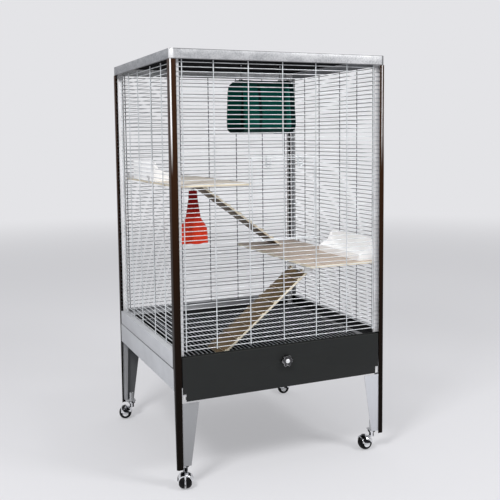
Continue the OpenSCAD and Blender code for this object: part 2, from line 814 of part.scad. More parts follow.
// Ears on the litter tray's front corners with the pins that the flap turns on.
module flap_ears() {
    axis_y = flap_pin_in - half_d;
    outer = flap_half_w - (notch_w - ear_w) / 2;
    plate_x = outer - ear_w - ear_plate_w;
    seat_z = tray_z - slack;
    color("whitesmoke") for (s = [-1, 1]) mirror([s > 0 ? 0 : 1, 0, 0]) {
        box(outer - ear_w, outer, axis_y - ear_d / 2, axis_y + ear_d / 2, flap_pin_z - ear_d / 2, seat_z);
        box(plate_x, tray_half_w, axis_y - ear_d / 2, ear_seat_y, seat_z - sheet, seat_z);
        rod_x(outer - ear_w - knuckle_len, outer - pin_end, axis_y, flap_pin_z, pin_d);
        box(plate_x, plate_x + ear_plate_w, -tray_front - sheet - seat, -tray_front - seat,
            seat_z - sheet, tray_z + ear_plate_up);
    }
}

module tray_flap() {
    axis_y = flap_pin_in - half_d;
    knuckle_x = flap_half_w - notch_w;
    length = knuckle_len - knuckle_play;
    color("darkslategray") difference() {
        union() {
            difference() {
                box(-flap_half_w, flap_half_w, -half_d, sheet - half_d, flap_z, flap_top - roll_d / 2);
                for (s = [-1, 1]) translate([s * flap_half_w, -half_d, flap_z])
                    cube([2 * notch_w, 3 * sheet, 2 * notch_h], center = true);
            }
            rod_x(-flap_half_w, flap_half_w, roll_d / 2 - half_d, flap_top - roll_d / 2, roll_d);
            for (s = [-1, 1]) {
                x1 = s > 0 ? knuckle_x - length : -knuckle_x;
                rod_x(x1, x1 + length, axis_y, flap_pin_z, knuckle_d);
                box(x1, x1 + length, sheet / 2 - half_d, axis_y,
                    flap_pin_z - knuckle_rib / 2, flap_pin_z + knuckle_rib / 2);
            }
        }
        for (s = [-1, 1]) rod_x(s > 0 ? knuckle_x - knuckle_len - 2 : -knuckle_x - 2,
            (s > 0 ? knuckle_x : knuckle_len - knuckle_x) + 2, axis_y, flap_pin_z, pin_d + 2 * pin_play);
        rod_y(-half_d - 1, 2 * sheet - half_d, 0, knob_z, shaft_d + 2 * pin_play);
    }
}

// Lobed turn knob on its shaft.
module latch_knob() {
    face = -half_d - knob_face;
    lobes = 6;
    color("silver") {
        difference() {
            rod_y(face - knob_t, face, 0, knob_z, knob_d);
            for (i = [0 : lobes - 1]) rotate_about_knob(i * 360 / lobes + 30)
                rod_y(face - knob_t - 1, face + 1, knob_d * 0.62, knob_z, knob_d * 0.42);
        }
        rod_y(face - 1, cam_in - tray_front + cam_t, 0, knob_z, shaft_d);
    }
}

module rotate_about_knob(angle) {
    translate([0, 0, knob_z]) rotate([0, angle, 0]) translate([0, 0, -knob_z]) children();
}

// Cam that turns down behind the litter tray's front wall; level at rest.
module knob_cam() {
    y1 = cam_in - tray_front;
    color("silver") difference() {
        union() {
            rod_y(y1, y1 + cam_t, 0, knob_z, shaft_d + cam_boss);
            box(-cam_len, 0, y1, y1 + cam_t, knob_z - cam_w / 2, knob_z + cam_w / 2);
        }
        rod_y(y1 - 1, y1 + cam_t + 1, 0, knob_z, shaft_d + 2 * seat);
    }
}

// ---- front door ----

module front_door() {
    y = door_in - half_d;
    side = door_half_w - upright_r;
    row_end = side - upright_r - weld;
    color("silver") {
        difference() {
            union() {
                for (s = [-1, 1]) rod_z(door_bottom, door_top, s * side, y, upright_d);
                for (z = [door_bottom, door_top]) rod_x(-side, side, y, z, upright_d);
                for (s = [-1, 1]) {
                    rod_x(s * hook_x - hook_w / 2, s * hook_x + hook_w / 2, y, hinge_z, hook_d);
                    box(s * latch_x - guide_w / 2, s * latch_x + guide_w / 2, y,
                        guide_in + bolt_d - half_d, door_top - guide_h / 2, door_top + guide_h / 2);
                }
                for (s = [-1, 1], z = [door_bottom, door_top]) translate([s * side, y, z])
                    sphere(d = upright_d, $fn = 24);
            }
            for (s = [-1, 1]) {
                rod_x(s * hook_x - hook_w, s * hook_x + hook_w, y, hinge_z, upright_d + 2 * pin_play);
                rod_z(door_top - guide_h, door_top + guide_h, s * latch_x, guide_in - half_d,
                    bolt_d + 2 * pin_play);
            }
        }
        for (i = [1 : door_rows]) rod_x(-row_end, row_end, y, hinge_row + i * wire_pitch, wire_d);
        rod_z(door_bottom, door_top, 0, y - wire_r - upright_r - weld, upright_d);
    }
}

// Slide bolt behind the door with a wire handle in front of it.
module door_latch(side) {
    x = side * latch_x;
    bolt_y = guide_in - half_d;
    front_y = door_in - half_d - upright_r - handle_d / 2 - handle_gap;
    low = latch_pin_z - latch_pin_d / 2;
    shoulder = low + handle_up;
    bend = shoulder - handle_h + handle_w / 2;
    color("silver") {
        rod_z(low - 1, bolt_top, x, bolt_y, bolt_d);
        rod_y(front_y, bolt_y, x, latch_pin_z, latch_pin_d);
        for (s = [-1, 1]) rod_z(bend, shoulder, x + s * handle_w / 2, front_y, handle_d);
        rod_x(x - handle_w / 2, x + handle_w / 2, front_y, latch_pin_z, handle_d);
        for (s = [-1, 1]) translate([x + s * handle_w / 2, front_y, shoulder])
            sphere(d = handle_d, $fn = 24);
        translate([x, front_y, bend]) rotate([-90, 0, 0])
            rotate_extrude(angle = 180) translate([handle_w / 2, 0]) circle(d = handle_d, $fn = 24);
    }
}

// ---- shelves ----

module shelf_upper() {
    color("burlywood") box(-board_x, -shelf_upper_edge, -board_front, shelf_upper_back,
        shelf_upper_z - board_t, shelf_upper_z);
}

module shelf_lower() {
    color("burlywood") box(shelf_lower_edge, board_x, -board_front, shelf_lower_back,
        shelf_lower_z - board_t, shelf_lower_z);
}

// Hook over one wire of a side panel with an arm under a shelf board.
module shelf_hook(side, y, row_z, board_z) {
    in_face = side_inset + wire_r + weld + sheet;
    wire_top = row_z + wire_r + weld;
    arm_z = board_z - seat;
    translate([0, y, 0]) at_corner(side, 0) {
        box(in_face - sheet, in_face, -bracket_w / 2, bracket_w / 2, arm_z - sheet, wire_top + sheet);
        box(side_inset - wire_r - weld - sheet, in_face, -bracket_w / 2, bracket_w / 2,
            wire_top, wire_top + sheet);
        box(side_inset - wire_r - weld - sheet, side_inset - wire_r - weld, -bracket_w / 2, bracket_w / 2,
            row_z - wire_r - hook_lip, wire_top + sheet);
        box(in_face - sheet, in_face + bracket_len, -bracket_w / 2, bracket_w / 2, arm_z - sheet, arm_z);
    }
}

module shelf_hooks() {
    color("silver") for (y = hook_ys) {
        shelf_hook(-1, y, upper_hook_row, shelf_upper_z - board_t);
        shelf_hook(1, y, lower_hook_row, shelf_lower_z - board_t);
    }
}

// ---- ramps ----

function ramp_angle(drop, len) = asin(drop / sqrt(len * len + ramp_low() * ramp_low()))
    - atan2(ramp_low(), len);
function ramp_low() = sleeve_d / 2 - sleeve_sink + ramp_t;   // underside of a board below its pin

upper_pin_x = -shelf_upper_edge + pin_out;
upper_pin_z = shelf_upper_z - ramp_upper_drop;
lower_pin_x = shelf_lower_edge - pin_out;
lower_pin_z = shelf_lower_z - ramp_lower_drop;

// Ears and pin under a shelf's free edge; drawn for an edge that faces +x.
module ramp_bracket(pin_z, board_z) {
    half = ramp_w / 2 + slack;
    under = board_z - seat;
    for (s = [-1, 1]) {
        y1 = s > 0 ? half : -half - ear_t;
        box(-pin_out - ear_in, ear_out, y1, y1 + ear_t, pin_z - ear_low, under);
    }
    tie = -pin_out - ramp_tie_in;
    box(tie - ramp_tie_w, tie, -half - ear_t, half + ear_t, under - sheet, under);
    rod_y(-half - ear_t / 2, half + ear_t / 2, 0, pin_z, ramp_pin_d);
}

module ramp_brackets() {
    color("silver") {
        translate([upper_pin_x, ramp_upper_y, 0]) ramp_bracket(upper_pin_z, shelf_upper_z - board_t);
        translate([lower_pin_x, -ramp_lower_y, 0]) mirror([1, 0, 0])
            ramp_bracket(lower_pin_z, shelf_lower_z - board_t);
        translate([-pouch_x, -pouch_y, shelf_upper_z - board_t - seat]) {
            translate([0, 0, bite]) staple_cut();
            translate([0, 0, -sheet / 2])
                cube([staple_w + staple_plate, hanger_d + staple_plate, sheet], center = true);
        }
    }
}

// A staple with nothing above the board's underside.
module staple_cut() {
    intersection() {
        staple();
        box(-staple_w, staple_w, -staple_w, staple_w, -2 * staple_drop, -bite);
    }
}

// Ramp board sloping down towards +x from its pin at the origin.
module ramp(len, angle) {
    sleeve_r = sleeve_d / 2;
    top = sleeve_sink - sleeve_r;
    color("peru") rotate([0, angle, 0]) difference() {
        union() {
            box(sleeve_sink - sleeve_r, len, -ramp_w / 2, ramp_w / 2, top - ramp_t, top);
            for (x = [cleat_pitch / 2 : cleat_pitch : len - cleat_w])
                box(x, x + cleat_w, -ramp_w / 2, ramp_w / 2, top - bite, top + cleat_h);
            for (s = [-1, 1]) translate([0, s * (ramp_w / 2 - ramp_sleeve_in), 0])
                rod_y(-ramp_sleeve_len / 2, ramp_sleeve_len / 2, 0, 0, sleeve_d);
        }
        rod_y(-ramp_w, ramp_w, 0, 0, ramp_pin_d + 2 * pin_play);
    }
}

module ramp_upper() {
    drop = upper_pin_z - shelf_lower_z - ramp_clear;
    translate([upper_pin_x, ramp_upper_y, upper_pin_z])
        ramp(ramp_upper_len, ramp_angle(drop, ramp_upper_len));
}

module ramp_lower() {
    drop = lower_pin_z - grate_top - ramp_clear;
    translate([lower_pin_x, -ramp_lower_y, lower_pin_z]) mirror([1, 0, 0])
        ramp(ramp_lower_len, ramp_angle(drop, ramp_lower_len));
}

// ---- hanging toys ----

tunnel_sides = 32;
tunnel_rings = 12;
tunnel_square = 0.42;                         // power that squares the tunnel's section
tunnel_taper = 0.15;                          // share by which its top is narrower and its foot wider

// Point of the tunnel's wall: share along its length, angle round it, inset from its outside.
function tunnel_point(t, a, in) =
    let (c = cos(a), s = sin(a),
        fold = 2.2 * sin(4 * a + 260 * t) * (1 - abs(s)),
        up = sign(s) * pow(abs(s), tunnel_square),
        y = (tunnel_d / 2 - in + fold) * sign(c) * pow(abs(c), tunnel_square) * (1 - tunnel_taper * up),
        z = (tunnel_h / 2 - in) * up,
        high = max(0, z / (tunnel_h / 2) - 0.8) * 5,
        low = max(0, -z / (tunnel_h / 2) - 0.8) * 5,
        left = 14 * high + 4 * low, right = 3 * high + 4 * low,
        x = left + t * (tunnel_len - left - right) - tunnel_len / 2)
    [x, y, z];

module tunnel() {
    n = tunnel_sides;
    m = tunnel_rings;
    ring = function(i, in) [for (j = [0 : n - 1]) tunnel_point(i / m, j * 360 / n, in)];
    points = [for (i = [0 : m]) each ring(i, 0), for (i = [0 : m]) each ring(i, tunnel_wall)];
    inner = n * (m + 1);
    skin = [for (i = [0 : m - 1], j = [0 : n - 1])
        let (a = i * n + j, b = i * n + (j + 1) % n) each [[a, a + n, b + n], [a, b + n, b]]];
    lining = [for (f = skin) [f[2] + inner, f[1] + inner, f[0] + inner]];
    ends = [for (j = [0 : n - 1]) let (k = (j + 1) % n, e = m * n)
        each [[j, k, k + inner], [j, k + inner, j + inner],
            [e + j, e + k + inner, e + k], [e + j, e + j + inner, e + k + inner]]];
    color("teal") translate([tunnel_x, -tunnel_y, tunnel_z + tunnel_h / 2])
        polyhedron(points, [for (f = concat(skin, lining, ends)) [f[2], f[1], f[0]]]);
}

// Wire hanger with an eye at each end: the upper one turns on the roof's pin.
module hanger(len) {
    difference() {
        union() {
            rod_x(-eye_w / 2, eye_w / 2, 0, 0, eye_d);
            rod_z(slack + hanger_d / 2 - len, -hanger_d / 2 - hanger_bite, 0, 0, hanger_d - hanger_bite);
        }
        rod_x(-eye_w, eye_w, 0, 0, hanger_d + 2 * pin_play);
    }
}

module tunnel_hangers() {
    color("silver") for (s = [-1, 1]) translate([tunnel_x + s * hanger_span / 2, -tunnel_y, hang_z]) {
        hanger(hanger_len);
        translate([0, 0, slack - hanger_len]) cylinder(h = tunnel_pad_t, d = tunnel_pad_d);
    }
}

pouch_sides = 24;
// Shares of the pouch's height and of its flare, from the hem up to the neck
pouch_profile = [[0, 1], [0.12, 0.99], [0.25, 0.94], [0.33, 0.8], [0.4, 0.55], [0.47, 0.36],
    [0.56, 0.27], [0.7, 0.16], [0.86, 0.04], [1, 0]];

function pouch_point(p, a) =
    let (r = pouch_neck_r + (pouch_r - pouch_neck_r) * p[1], fold = 1 + 0.07 * p[1] * sin(6 * a))
    [r * fold * cos(a), 0.8 * r * fold * sin(a), p[0] * pouch_h];

module pouch() {
    n = pouch_sides;
    m = len(pouch_profile) - 1;
    points = [for (p = pouch_profile, j = [0 : n - 1]) pouch_point(p, j * 360 / n)];
    skin = [for (i = [0 : m - 1], j = [0 : n - 1])
        let (a = i * n + j, b = i * n + (j + 1) % n) each [[a, a + n, b + n], [a, b + n, b]]];
    hem = [for (j = [1 : n - 2]) [0, j, j + 1]];
    neck = [for (j = [1 : n - 2]) [m * n, m * n + j + 1, m * n + j]];
    color("red") translate([-pouch_x, -pouch_y, pouch_top - pouch_h])
        polyhedron(points, concat(skin, hem, neck));
}

module pouch_hook() {
    color("silver") translate([-pouch_x, -pouch_y, pouch_pin_z]) {
        hanger(pouch_pin_z - pouch_top);
        translate([0, 0, pouch_top - pouch_pin_z + slack]) cylinder(h = pouch_pad_t, d = pouch_pad_d);
    }
}

// ---- feed trays ----

// Tray with a high back at x = 0, open at the top, its front lip towards +x.
module feed_tray(length, high) {
    inner_end = feed_d - feed_wall;
    color("white") difference() {
        intersection() {
            extrude_y(-length / 2, length / 2) polygon([[0, 0], [feed_d, 0], [feed_d, feed_lip],
                [feed_d / 3, feed_lip + (high - feed_lip) / 3], [feed_wall, high], [0, high]]);
            extrude_x(-1, feed_d + 1) translate([0, high / 2 - feed_r])
                rounded_rect(length, high + 2 * feed_r, feed_r);
        }
        box(feed_wall, inner_end, feed_wall - length / 2, length / 2 - feed_wall, feed_wall, 2 * high);
    }
}

module feed_tray_upper() {
    translate([slack - board_x, feed_upper_y, shelf_upper_z + slack])
        feed_tray(feed_upper_len, feed_upper_h);
}

module feed_tray_lower() {
    translate([board_x - slack, -feed_lower_y, shelf_lower_z + slack]) mirror([1, 0, 0])
        feed_tray(feed_lower_len, feed_lower_h);
}

// ---- casters ----

// Moves children to a caster's swivel axis, +x along its trail.
module at_caster(side, end) {
    i = (end > 0 ? 2 : 0) + (side > 0 ? 1 : 0);
    translate([side * corner_in_x, end * corner_in_y, 0]) rotate([0, 0, trail_angle[i]]) children();
}

// Half width of a round side at a share of its radius, from 1 at the axle to 0 at the tread.
function dome(share) = pow(1 - pow(share, dome_power), 1 / dome_power);

// Half of a dome's section beyond a given height, with its radius along x.
module dome_section(r, half, from, to) {
    steps = 14;
    first = pow(1 - pow(from / half, dome_power), 1 / dome_power);
    last = pow(1 - pow(to / half, dome_power), 1 / dome_power);
    polygon(concat([[0, to], [0, from]], [for (i = [0:steps])
        let (share = first + (last - first) * pow(i / steps, 2))
            [r * share / first, i == 0 ? from : i == steps ? to : half * dome(share)]]));
}

// Solid with two round sides, on the wheels' axle.
module dome_solid(r, half) {
    translate([trail, 0, wheel_r]) rotate([90, 0, 0]) for (s = [0, 1]) mirror([0, 0, s])
        rotate_extrude() dome_section(r, half, 0, half * (1 - weld / half));
}

module caster(side, end) {
    side_half = (wheel_gap / 2 + wheel_w) / side_share;
    hood_end = trail + wheel_r * hood_reach;
    hood_low = wheel_r + hood_up;
    hood_half = side_half + wheel_clear + hood_t;
    color("silver") at_caster(side, end) difference() {
        union() {
            // swivel stem, collar and bearing plate
            rod_z(neck_z, leg_z + socket_len - 1, 0, 0, stem_d);
            rod_z(neck_z, leg_z - slack, 0, 0, collar_d);
            rod_z(leg_z - plate_drop - plate_t, leg_z - plate_drop, 0, 0, plate_d);
            // round hood over both wheels
            intersection() {
                difference() {
                    dome_solid(outer_r, hood_half);
                    dome_solid(wheel_r + wheel_clear, side_half + wheel_clear);
                }
                box(trail - outer_r, hood_end, -hood_half, hood_half, hood_low, 2 * outer_r);
            }
            // web between the wheels, reaching up into the hood
            rod_y(web_play - wheel_gap / 2, wheel_gap / 2 - web_play, trail, wheel_r, 2 * web_r);
            intersection() {
                rod_y(web_play - wheel_gap / 2, wheel_gap / 2 - web_play, trail, wheel_r,
                    2 * (outer_r - hood_t / 2));
                box(trail - outer_r, hood_end, -wheel_gap, wheel_gap, hood_low, 2 * outer_r);
            }
        }
        rod_y(-wheel_gap, wheel_gap, trail, wheel_r, axle_d + 2 * pin_play);
    }
}

// Twin wheels on their axle, with round outer sides and a recess for each hub cap.
module wheels(side, end) {
    face = wheel_gap / 2 + wheel_w;
    color("black") at_caster(side, end) translate([trail, 0, wheel_r]) rotate([90, 0, 0]) {
        for (s = [0, 1]) mirror([0, 0, s]) difference() {
            rotate_extrude() dome_section(wheel_r, face / side_share, wheel_gap / 2, face);
            translate([0, 0, face - hub_deep]) cylinder(h = 2 * hub_deep, r = hub_r - hub_rim);
        }
        cylinder(h = wheel_gap + 2, d = axle_d, center = true);
    }
}

top_band();
roof_panel();
cabinet_screws();
post(-1, -1);  // post_front_left
post(1, -1);  // post_front_right
post(-1, 1);  // post_rear_left
post(1, 1);  // post_rear_right
liner(-1, -1);  // liner_front_left
liner(1, -1);  // liner_front_right
liner(-1, 1);  // liner_rear_left
liner(1, 1);  // liner_rear_right
side_panel(-1);  // panel_left
side_panel(1);  // panel_right
panel_rear();
grille_side(-1);  // grille_left
grille_side(1);  // grille_right
grille_lower();
grille_upper();
rail_side(-1);  // rail_left
rail_side(1);  // rail_right
rail_rear();
rail_front();
apron_side(-1);  // apron_left
apron_side(1);  // apron_right
apron_rear();
leg(-1, -1);  // leg_front_left
leg(1, -1);  // leg_front_right
leg(-1, 1);  // leg_rear_left
leg(1, 1);  // leg_rear_right
tray_runners();
grate_frame();
grate_wires();
shelf_upper();
shelf_lower();
shelf_hooks();
ramp_brackets();
litter_tray();
flap_ears();
tray_flap();
latch_knob();
knob_cam();
front_door();
door_latch(-1);  // door_latch_left
door_latch(1);  // door_latch_right
ramp_upper();
ramp_lower();
tunnel();
tunnel_hangers();
pouch();
pouch_hook();
feed_tray_upper();
feed_tray_lower();
caster(-1, -1);  // caster_front_left
caster(1, -1);  // caster_front_right
caster(-1, 1);  // caster_rear_left
caster(1, 1);  // caster_rear_right
wheels(-1, -1);  // wheels_front_left
wheels(1, -1);  // wheels_front_right
wheels(-1, 1);  // wheels_rear_left
wheels(1, 1);  // wheels_rear_right
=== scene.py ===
"""Looks of a ferret cage on casters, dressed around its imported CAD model."""

import json
import logging
import math
from collections.abc import Callable
from dataclasses import dataclass, field
from enum import Enum

import bmesh
import bpy
from mathutils import Matrix, Vector

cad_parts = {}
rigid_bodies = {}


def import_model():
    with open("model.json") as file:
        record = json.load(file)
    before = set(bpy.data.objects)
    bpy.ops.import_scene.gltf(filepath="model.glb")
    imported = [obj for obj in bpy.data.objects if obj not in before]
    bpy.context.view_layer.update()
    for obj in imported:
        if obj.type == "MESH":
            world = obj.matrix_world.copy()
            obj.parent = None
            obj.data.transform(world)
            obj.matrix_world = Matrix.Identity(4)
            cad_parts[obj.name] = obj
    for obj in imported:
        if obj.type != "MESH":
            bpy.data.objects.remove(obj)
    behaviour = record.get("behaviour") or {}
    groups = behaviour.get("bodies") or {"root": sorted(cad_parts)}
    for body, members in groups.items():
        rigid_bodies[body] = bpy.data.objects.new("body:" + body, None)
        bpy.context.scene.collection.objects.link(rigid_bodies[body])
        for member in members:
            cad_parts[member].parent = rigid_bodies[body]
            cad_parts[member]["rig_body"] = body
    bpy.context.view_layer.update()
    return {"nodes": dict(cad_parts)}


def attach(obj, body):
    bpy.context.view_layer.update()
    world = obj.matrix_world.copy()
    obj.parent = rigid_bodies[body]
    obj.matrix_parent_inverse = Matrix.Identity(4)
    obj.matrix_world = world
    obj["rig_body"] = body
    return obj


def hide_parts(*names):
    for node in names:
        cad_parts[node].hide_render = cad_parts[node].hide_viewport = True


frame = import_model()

log = logging.getLogger("ferret_cage")

Colour = tuple[float, float, float]
Point = tuple[float, float, float]
Piece = bpy.types.Object
Material = bpy.types.Material
NODES: dict[str, Piece] = frame["nodes"]
CORNERS = ("front_left", "front_right", "rear_left", "rear_right")
MM = 0.001
MATT_BLACK: Colour = (0.006, 0.006, 0.007)
RAIL_GREY: Colour = (0.56, 0.575, 0.6)


class Axis(Enum):
    """A direction of the shared frame, as its place in a point."""

    X = 0
    Y = 1
    Z = 2


# ---- materials


def arithmetic(operation: str, swapped: bool = False) -> Callable[..., "Channel"]:
    """Makes a method of Channel that adds one Math node.

    Args:
        operation: The Math node's operation.
        swapped: Whether the other value comes first.

    Returns:
        The method.
    """

    def method(self: "Channel", *others: "Channel | float") -> "Channel":
        """The operation on this value and any others."""
        return self.maths(operation, *((*others, self) if swapped else (self, *others)))

    return method


class Channel:
    """One output of a node tree, with the arithmetic of plain numbers."""

    def __init__(self, shader: "Shader", socket: bpy.types.NodeSocket) -> None:
        """Keeps the socket and the shader that it belongs to.

        Args:
            shader: The shader under construction.
            socket: The output socket that this channel reads.
        """
        self.shader = shader
        self.socket = socket

    def maths(self, operation: str, *values: "Channel | float", clamp: bool = False) -> "Channel":
        """Adds one Math node.

        Args:
            operation: The Math node's operation.
            values: Its inputs, in order.
            clamp: Whether the result is kept between 0 and 1.

        Returns:
            The node's result.
        """
        settings = {"operation": operation, "use_clamp": clamp}
        return self.shader.read("ShaderNodeMath", 0, settings, dict(enumerate(values)))

    __add__ = __radd__ = arithmetic("ADD")
    __sub__ = arithmetic("SUBTRACT")
    __rsub__ = arithmetic("SUBTRACT", swapped=True)
    __mul__ = __rmul__ = arithmetic("MULTIPLY")
    __truediv__ = arithmetic("DIVIDE")
    __rtruediv__ = arithmetic("DIVIDE", swapped=True)
    __gt__ = arithmetic("GREATER_THAN")
    __lt__ = arithmetic("LESS_THAN")
    __abs__ = arithmetic("ABSOLUTE")
    sine = arithmetic("SINE")
    most = arithmetic("MAXIMUM")

    def clamp(self) -> "Channel":
        """This value kept between 0 and 1."""
        return self.maths("ADD", self, 0.0, clamp=True)

    def smooth(self, low: float, high: float) -> "Channel":
        """A soft step.

        Args:
            low: Value at which the step starts.
            high: Value at which it ends.

        Returns:
            0 before low, 1 after high and a smooth rise between.
        """
        settings = {"interpolation_type": "SMOOTHSTEP"}
        sockets = {"Value": self, "From Min": low, "From Max": high}
        return self.shader.read("ShaderNodeMapRange", "Result", settings, sockets)


class Shader:
    """A node material, or a world's nodes, under construction."""

    def __init__(self, owner: "str | bpy.types.World") -> None:
        """Makes an empty node tree.

        Args:
            owner: A new material's name, or the world whose nodes are made.
        """
        self.material = bpy.data.materials.new(owner) if isinstance(owner, str) else owner
        self.material.use_nodes = True
        self.tree = self.material.node_tree
        self.tree.nodes.clear()

    def node(
        self,
        kind: str,
        settings: dict[str, object] | None = None,
        sockets: dict[str | int, object] | None = None,
    ) -> bpy.types.Node:
        """Adds a node, sets its settings and then its sockets.

        Args:
            kind: The node's type name.
            settings: Attributes of the node.
            sockets: Values or channels by the input's name or number.

        Returns:
            The new node.
        """
        made = self.tree.nodes.new(kind)
        for key, value in (settings or {}).items():
            setattr(made, key, value)
        for key, value in (sockets or {}).items():
            socket = made.inputs[key]
            if isinstance(value, Channel):
                self.tree.links.new(value.socket, socket)
            elif socket.type == "RGBA" and len(value) == 3:
                socket.default_value = (*value, 1.0)
            else:
                socket.default_value = value
        return made

    def read(
        self, kind: str, output: str | int, settings: dict | None = None, sockets: dict | None = None
    ) -> Channel:
        """Adds a node and reads one of its outputs.

        Args:
            kind: The node's type name.
            output: The output's name or number.
            settings: As for node.
            sockets: As for node.

        Returns:
            The output as a channel.
        """
        return Channel(self, self.node(kind, settings, sockets).outputs[output])

    def place(
        self,
        centre: Point = (0, 0, 0),
        turn: Point = (0, 0, 0),
        size: Point = (1, 1, 1),
        vector: Channel | None = None,
    ) -> Channel:
        """The piece's own coordinates, centred, turned back and divided by a size.

        Args:
            centre: Point that becomes the origin.
            turn: Angles in radians that are turned back.
            size: Length along each axis that becomes 1.
            vector: What is mapped instead of the coordinates.

        Returns:
            The mapped coordinates.
        """
        vector = vector or self.read("ShaderNodeTexCoord", "Object")
        sockets = {"Vector": vector, "Location": centre, "Rotation": turn, "Scale": size}
        return self.read("ShaderNodeMapping", "Vector", {"vector_type": "TEXTURE"}, sockets)

    def parts(self, vector: Channel) -> tuple[Channel, Channel, Channel]:
        """The three components of a vector."""
        node = self.node("ShaderNodeSeparateXYZ", None, {0: vector})
        return tuple(Channel(self, out) for out in node.outputs)

    def facing(self) -> tuple[Channel, Channel, Channel]:
        """The three components of the surface's own normal."""
        return self.parts(self.read("ShaderNodeNewGeometry", "Normal"))

    def noise(self, vector: Channel, scale: float, detail: float = 3.0, rough: float = 0.5) -> Channel:
        """Cloudy noise between 0 and 1.

        Args:
            vector: Coordinates to read it at.
            scale: How many lumps there are to a unit.
            detail: Number of finer layers.
            rough: Strength of the finer layers.

        Returns:
            The noise.
        """
        sockets = {"Vector": vector, "Scale": scale, "Detail": detail, "Roughness": rough}
        return self.read("ShaderNodeTexNoise", 0, None, sockets)

    def cells(self, vector: Channel, scale: float) -> Channel:
        """Smooth distance to the nearest of a scattered set, with so many points to a unit."""
        sockets = {"Vector": vector, "Scale": scale}
        return self.read("ShaderNodeTexVoronoi", 0, {"feature": "SMOOTH_F1"}, sockets)

    def mix(
        self,
        share: Channel | float,
        low: Channel | Colour,
        high: Channel | Colour,
        blend: str = "MIX",
    ) -> Channel:
        """Mixes two colours.

        Args:
            share: 0 for the first colour, 1 for the second.
            low: The first colour.
            high: The second colour.
            blend: The mix node's blend type.

        Returns:
            The mixed colour.
        """
        settings = {"data_type": "RGBA", "blend_type": blend}
        return self.read("ShaderNodeMix", 2, settings, {0: share, 6: low, 7: high})

    def bump(self, height: Channel, depth: float) -> Channel:
        """A normal raised by a height of 0 to 1, where 1 is so many metres deep."""
        return self.read("ShaderNodeBump", 0, None, {"Height": height, "Distance": depth, "Strength": 1.0})

    def close(self, kind: str, result: Channel) -> Material:
        """Closes the tree.

        Args:
            kind: The output node's type name.
            result: What it shows.

        Returns:
            The finished material, or the world.
        """
        self.node(kind, None, {0: result})
        return self.material

    def surface(self, **sockets: object) -> Material:
        """Closes the material with one Principled shader.

        Args:
            sockets: The shader's inputs, with _ for a space.

        Returns:
            The finished material.
        """
        named = {key.replace("_", " "): value for key, value in sockets.items()}
        return self.close("ShaderNodeOutputMaterial", self.read("ShaderNodeBsdfPrincipled", 0, None, named))


def display(*levels: float) -> Colour:
    """Scene colour of a tone given in display levels, 0 to 255."""
    return tuple(((level / 255 + 0.055) / 1.055) ** 2.4 for level in levels)


@dataclass(frozen=True)
class PowderCoat:
    """Paint on sheet steel, with its orange peel and a faint film of dust on what faces up; it can carry
    painted light and shade: front faces lighter towards the right, and painted shade on inner faces and in
    bands.
    """

    name: str
    colour: Colour
    roughness: float = 0.4
    peel: float = 0.0012
    relief: float = 0.00004
    gloss: float = 0.5
    dust: float = 0.06
    front: Colour | None = None
    front_right: Colour | None = None
    inside: Colour | None = None
    inside_y: float = 0.34
    band: tuple[float, float] | None = None
    band_across: Axis = Axis.X
    band_colour: Colour = MATT_BLACK
    band_start: float = -1.0
    half_width: float = 0.4
    dust_colour: Colour = (0.62, 0.6, 0.57)

    def material(self) -> Material:
        """Builds the material.

        Returns:
            The material.
        """
        shader = Shader(self.name)
        place = shader.place()
        cloud = shader.noise(place, 14.0, 4.0)
        fine = shader.noise(place, 1.0 / self.peel, 2.0)
        side, ahead, height = shader.facing()
        up = height.smooth(0.6, 1.0)
        darker = tuple(0.9 * c for c in self.colour)
        base = shader.mix(cloud.smooth(0.3, 0.7), darker, self.colour)
        x, y, z = shader.parts(place)
        # Painted shade: faces turned one way within a height band take a dark colour.
        if self.band:
            turned = side if self.band_across is Axis.X else ahead
            share = (turned < -0.5) * (z > self.band[0]) * (z < self.band[1]) * (y > self.band_start)
            base = shader.mix(share, base, self.band_colour)
        # Painted light: front-facing faces shade from the front colour at the left to the front_right
        # colour at the right.
        if self.front:
            across = shader.mix(x.smooth(-self.half_width, self.half_width), self.front, self.front_right)
            base = shader.mix(ahead < -0.7, base, across)
        # Painted shade: front-facing faces at the back, away from the side faces, take the dark inside
        # colour.
        if self.inside:
            reach = self.half_width - abs(x) - z * 0.03
            base = shader.mix((ahead < -0.7) * (y > self.inside_y) * (reach > 0.018), base, self.inside)
        base = shader.mix(up * cloud * self.dust, base, self.dust_colour)
        return shader.surface(
            Base_Color=base,
            Roughness=(cloud * 0.16 + fine * 0.08 + (self.roughness - 0.12)).clamp(),
            Specular_IOR_Level=self.gloss,
            Normal=shader.bump(fine, self.relief),
        )


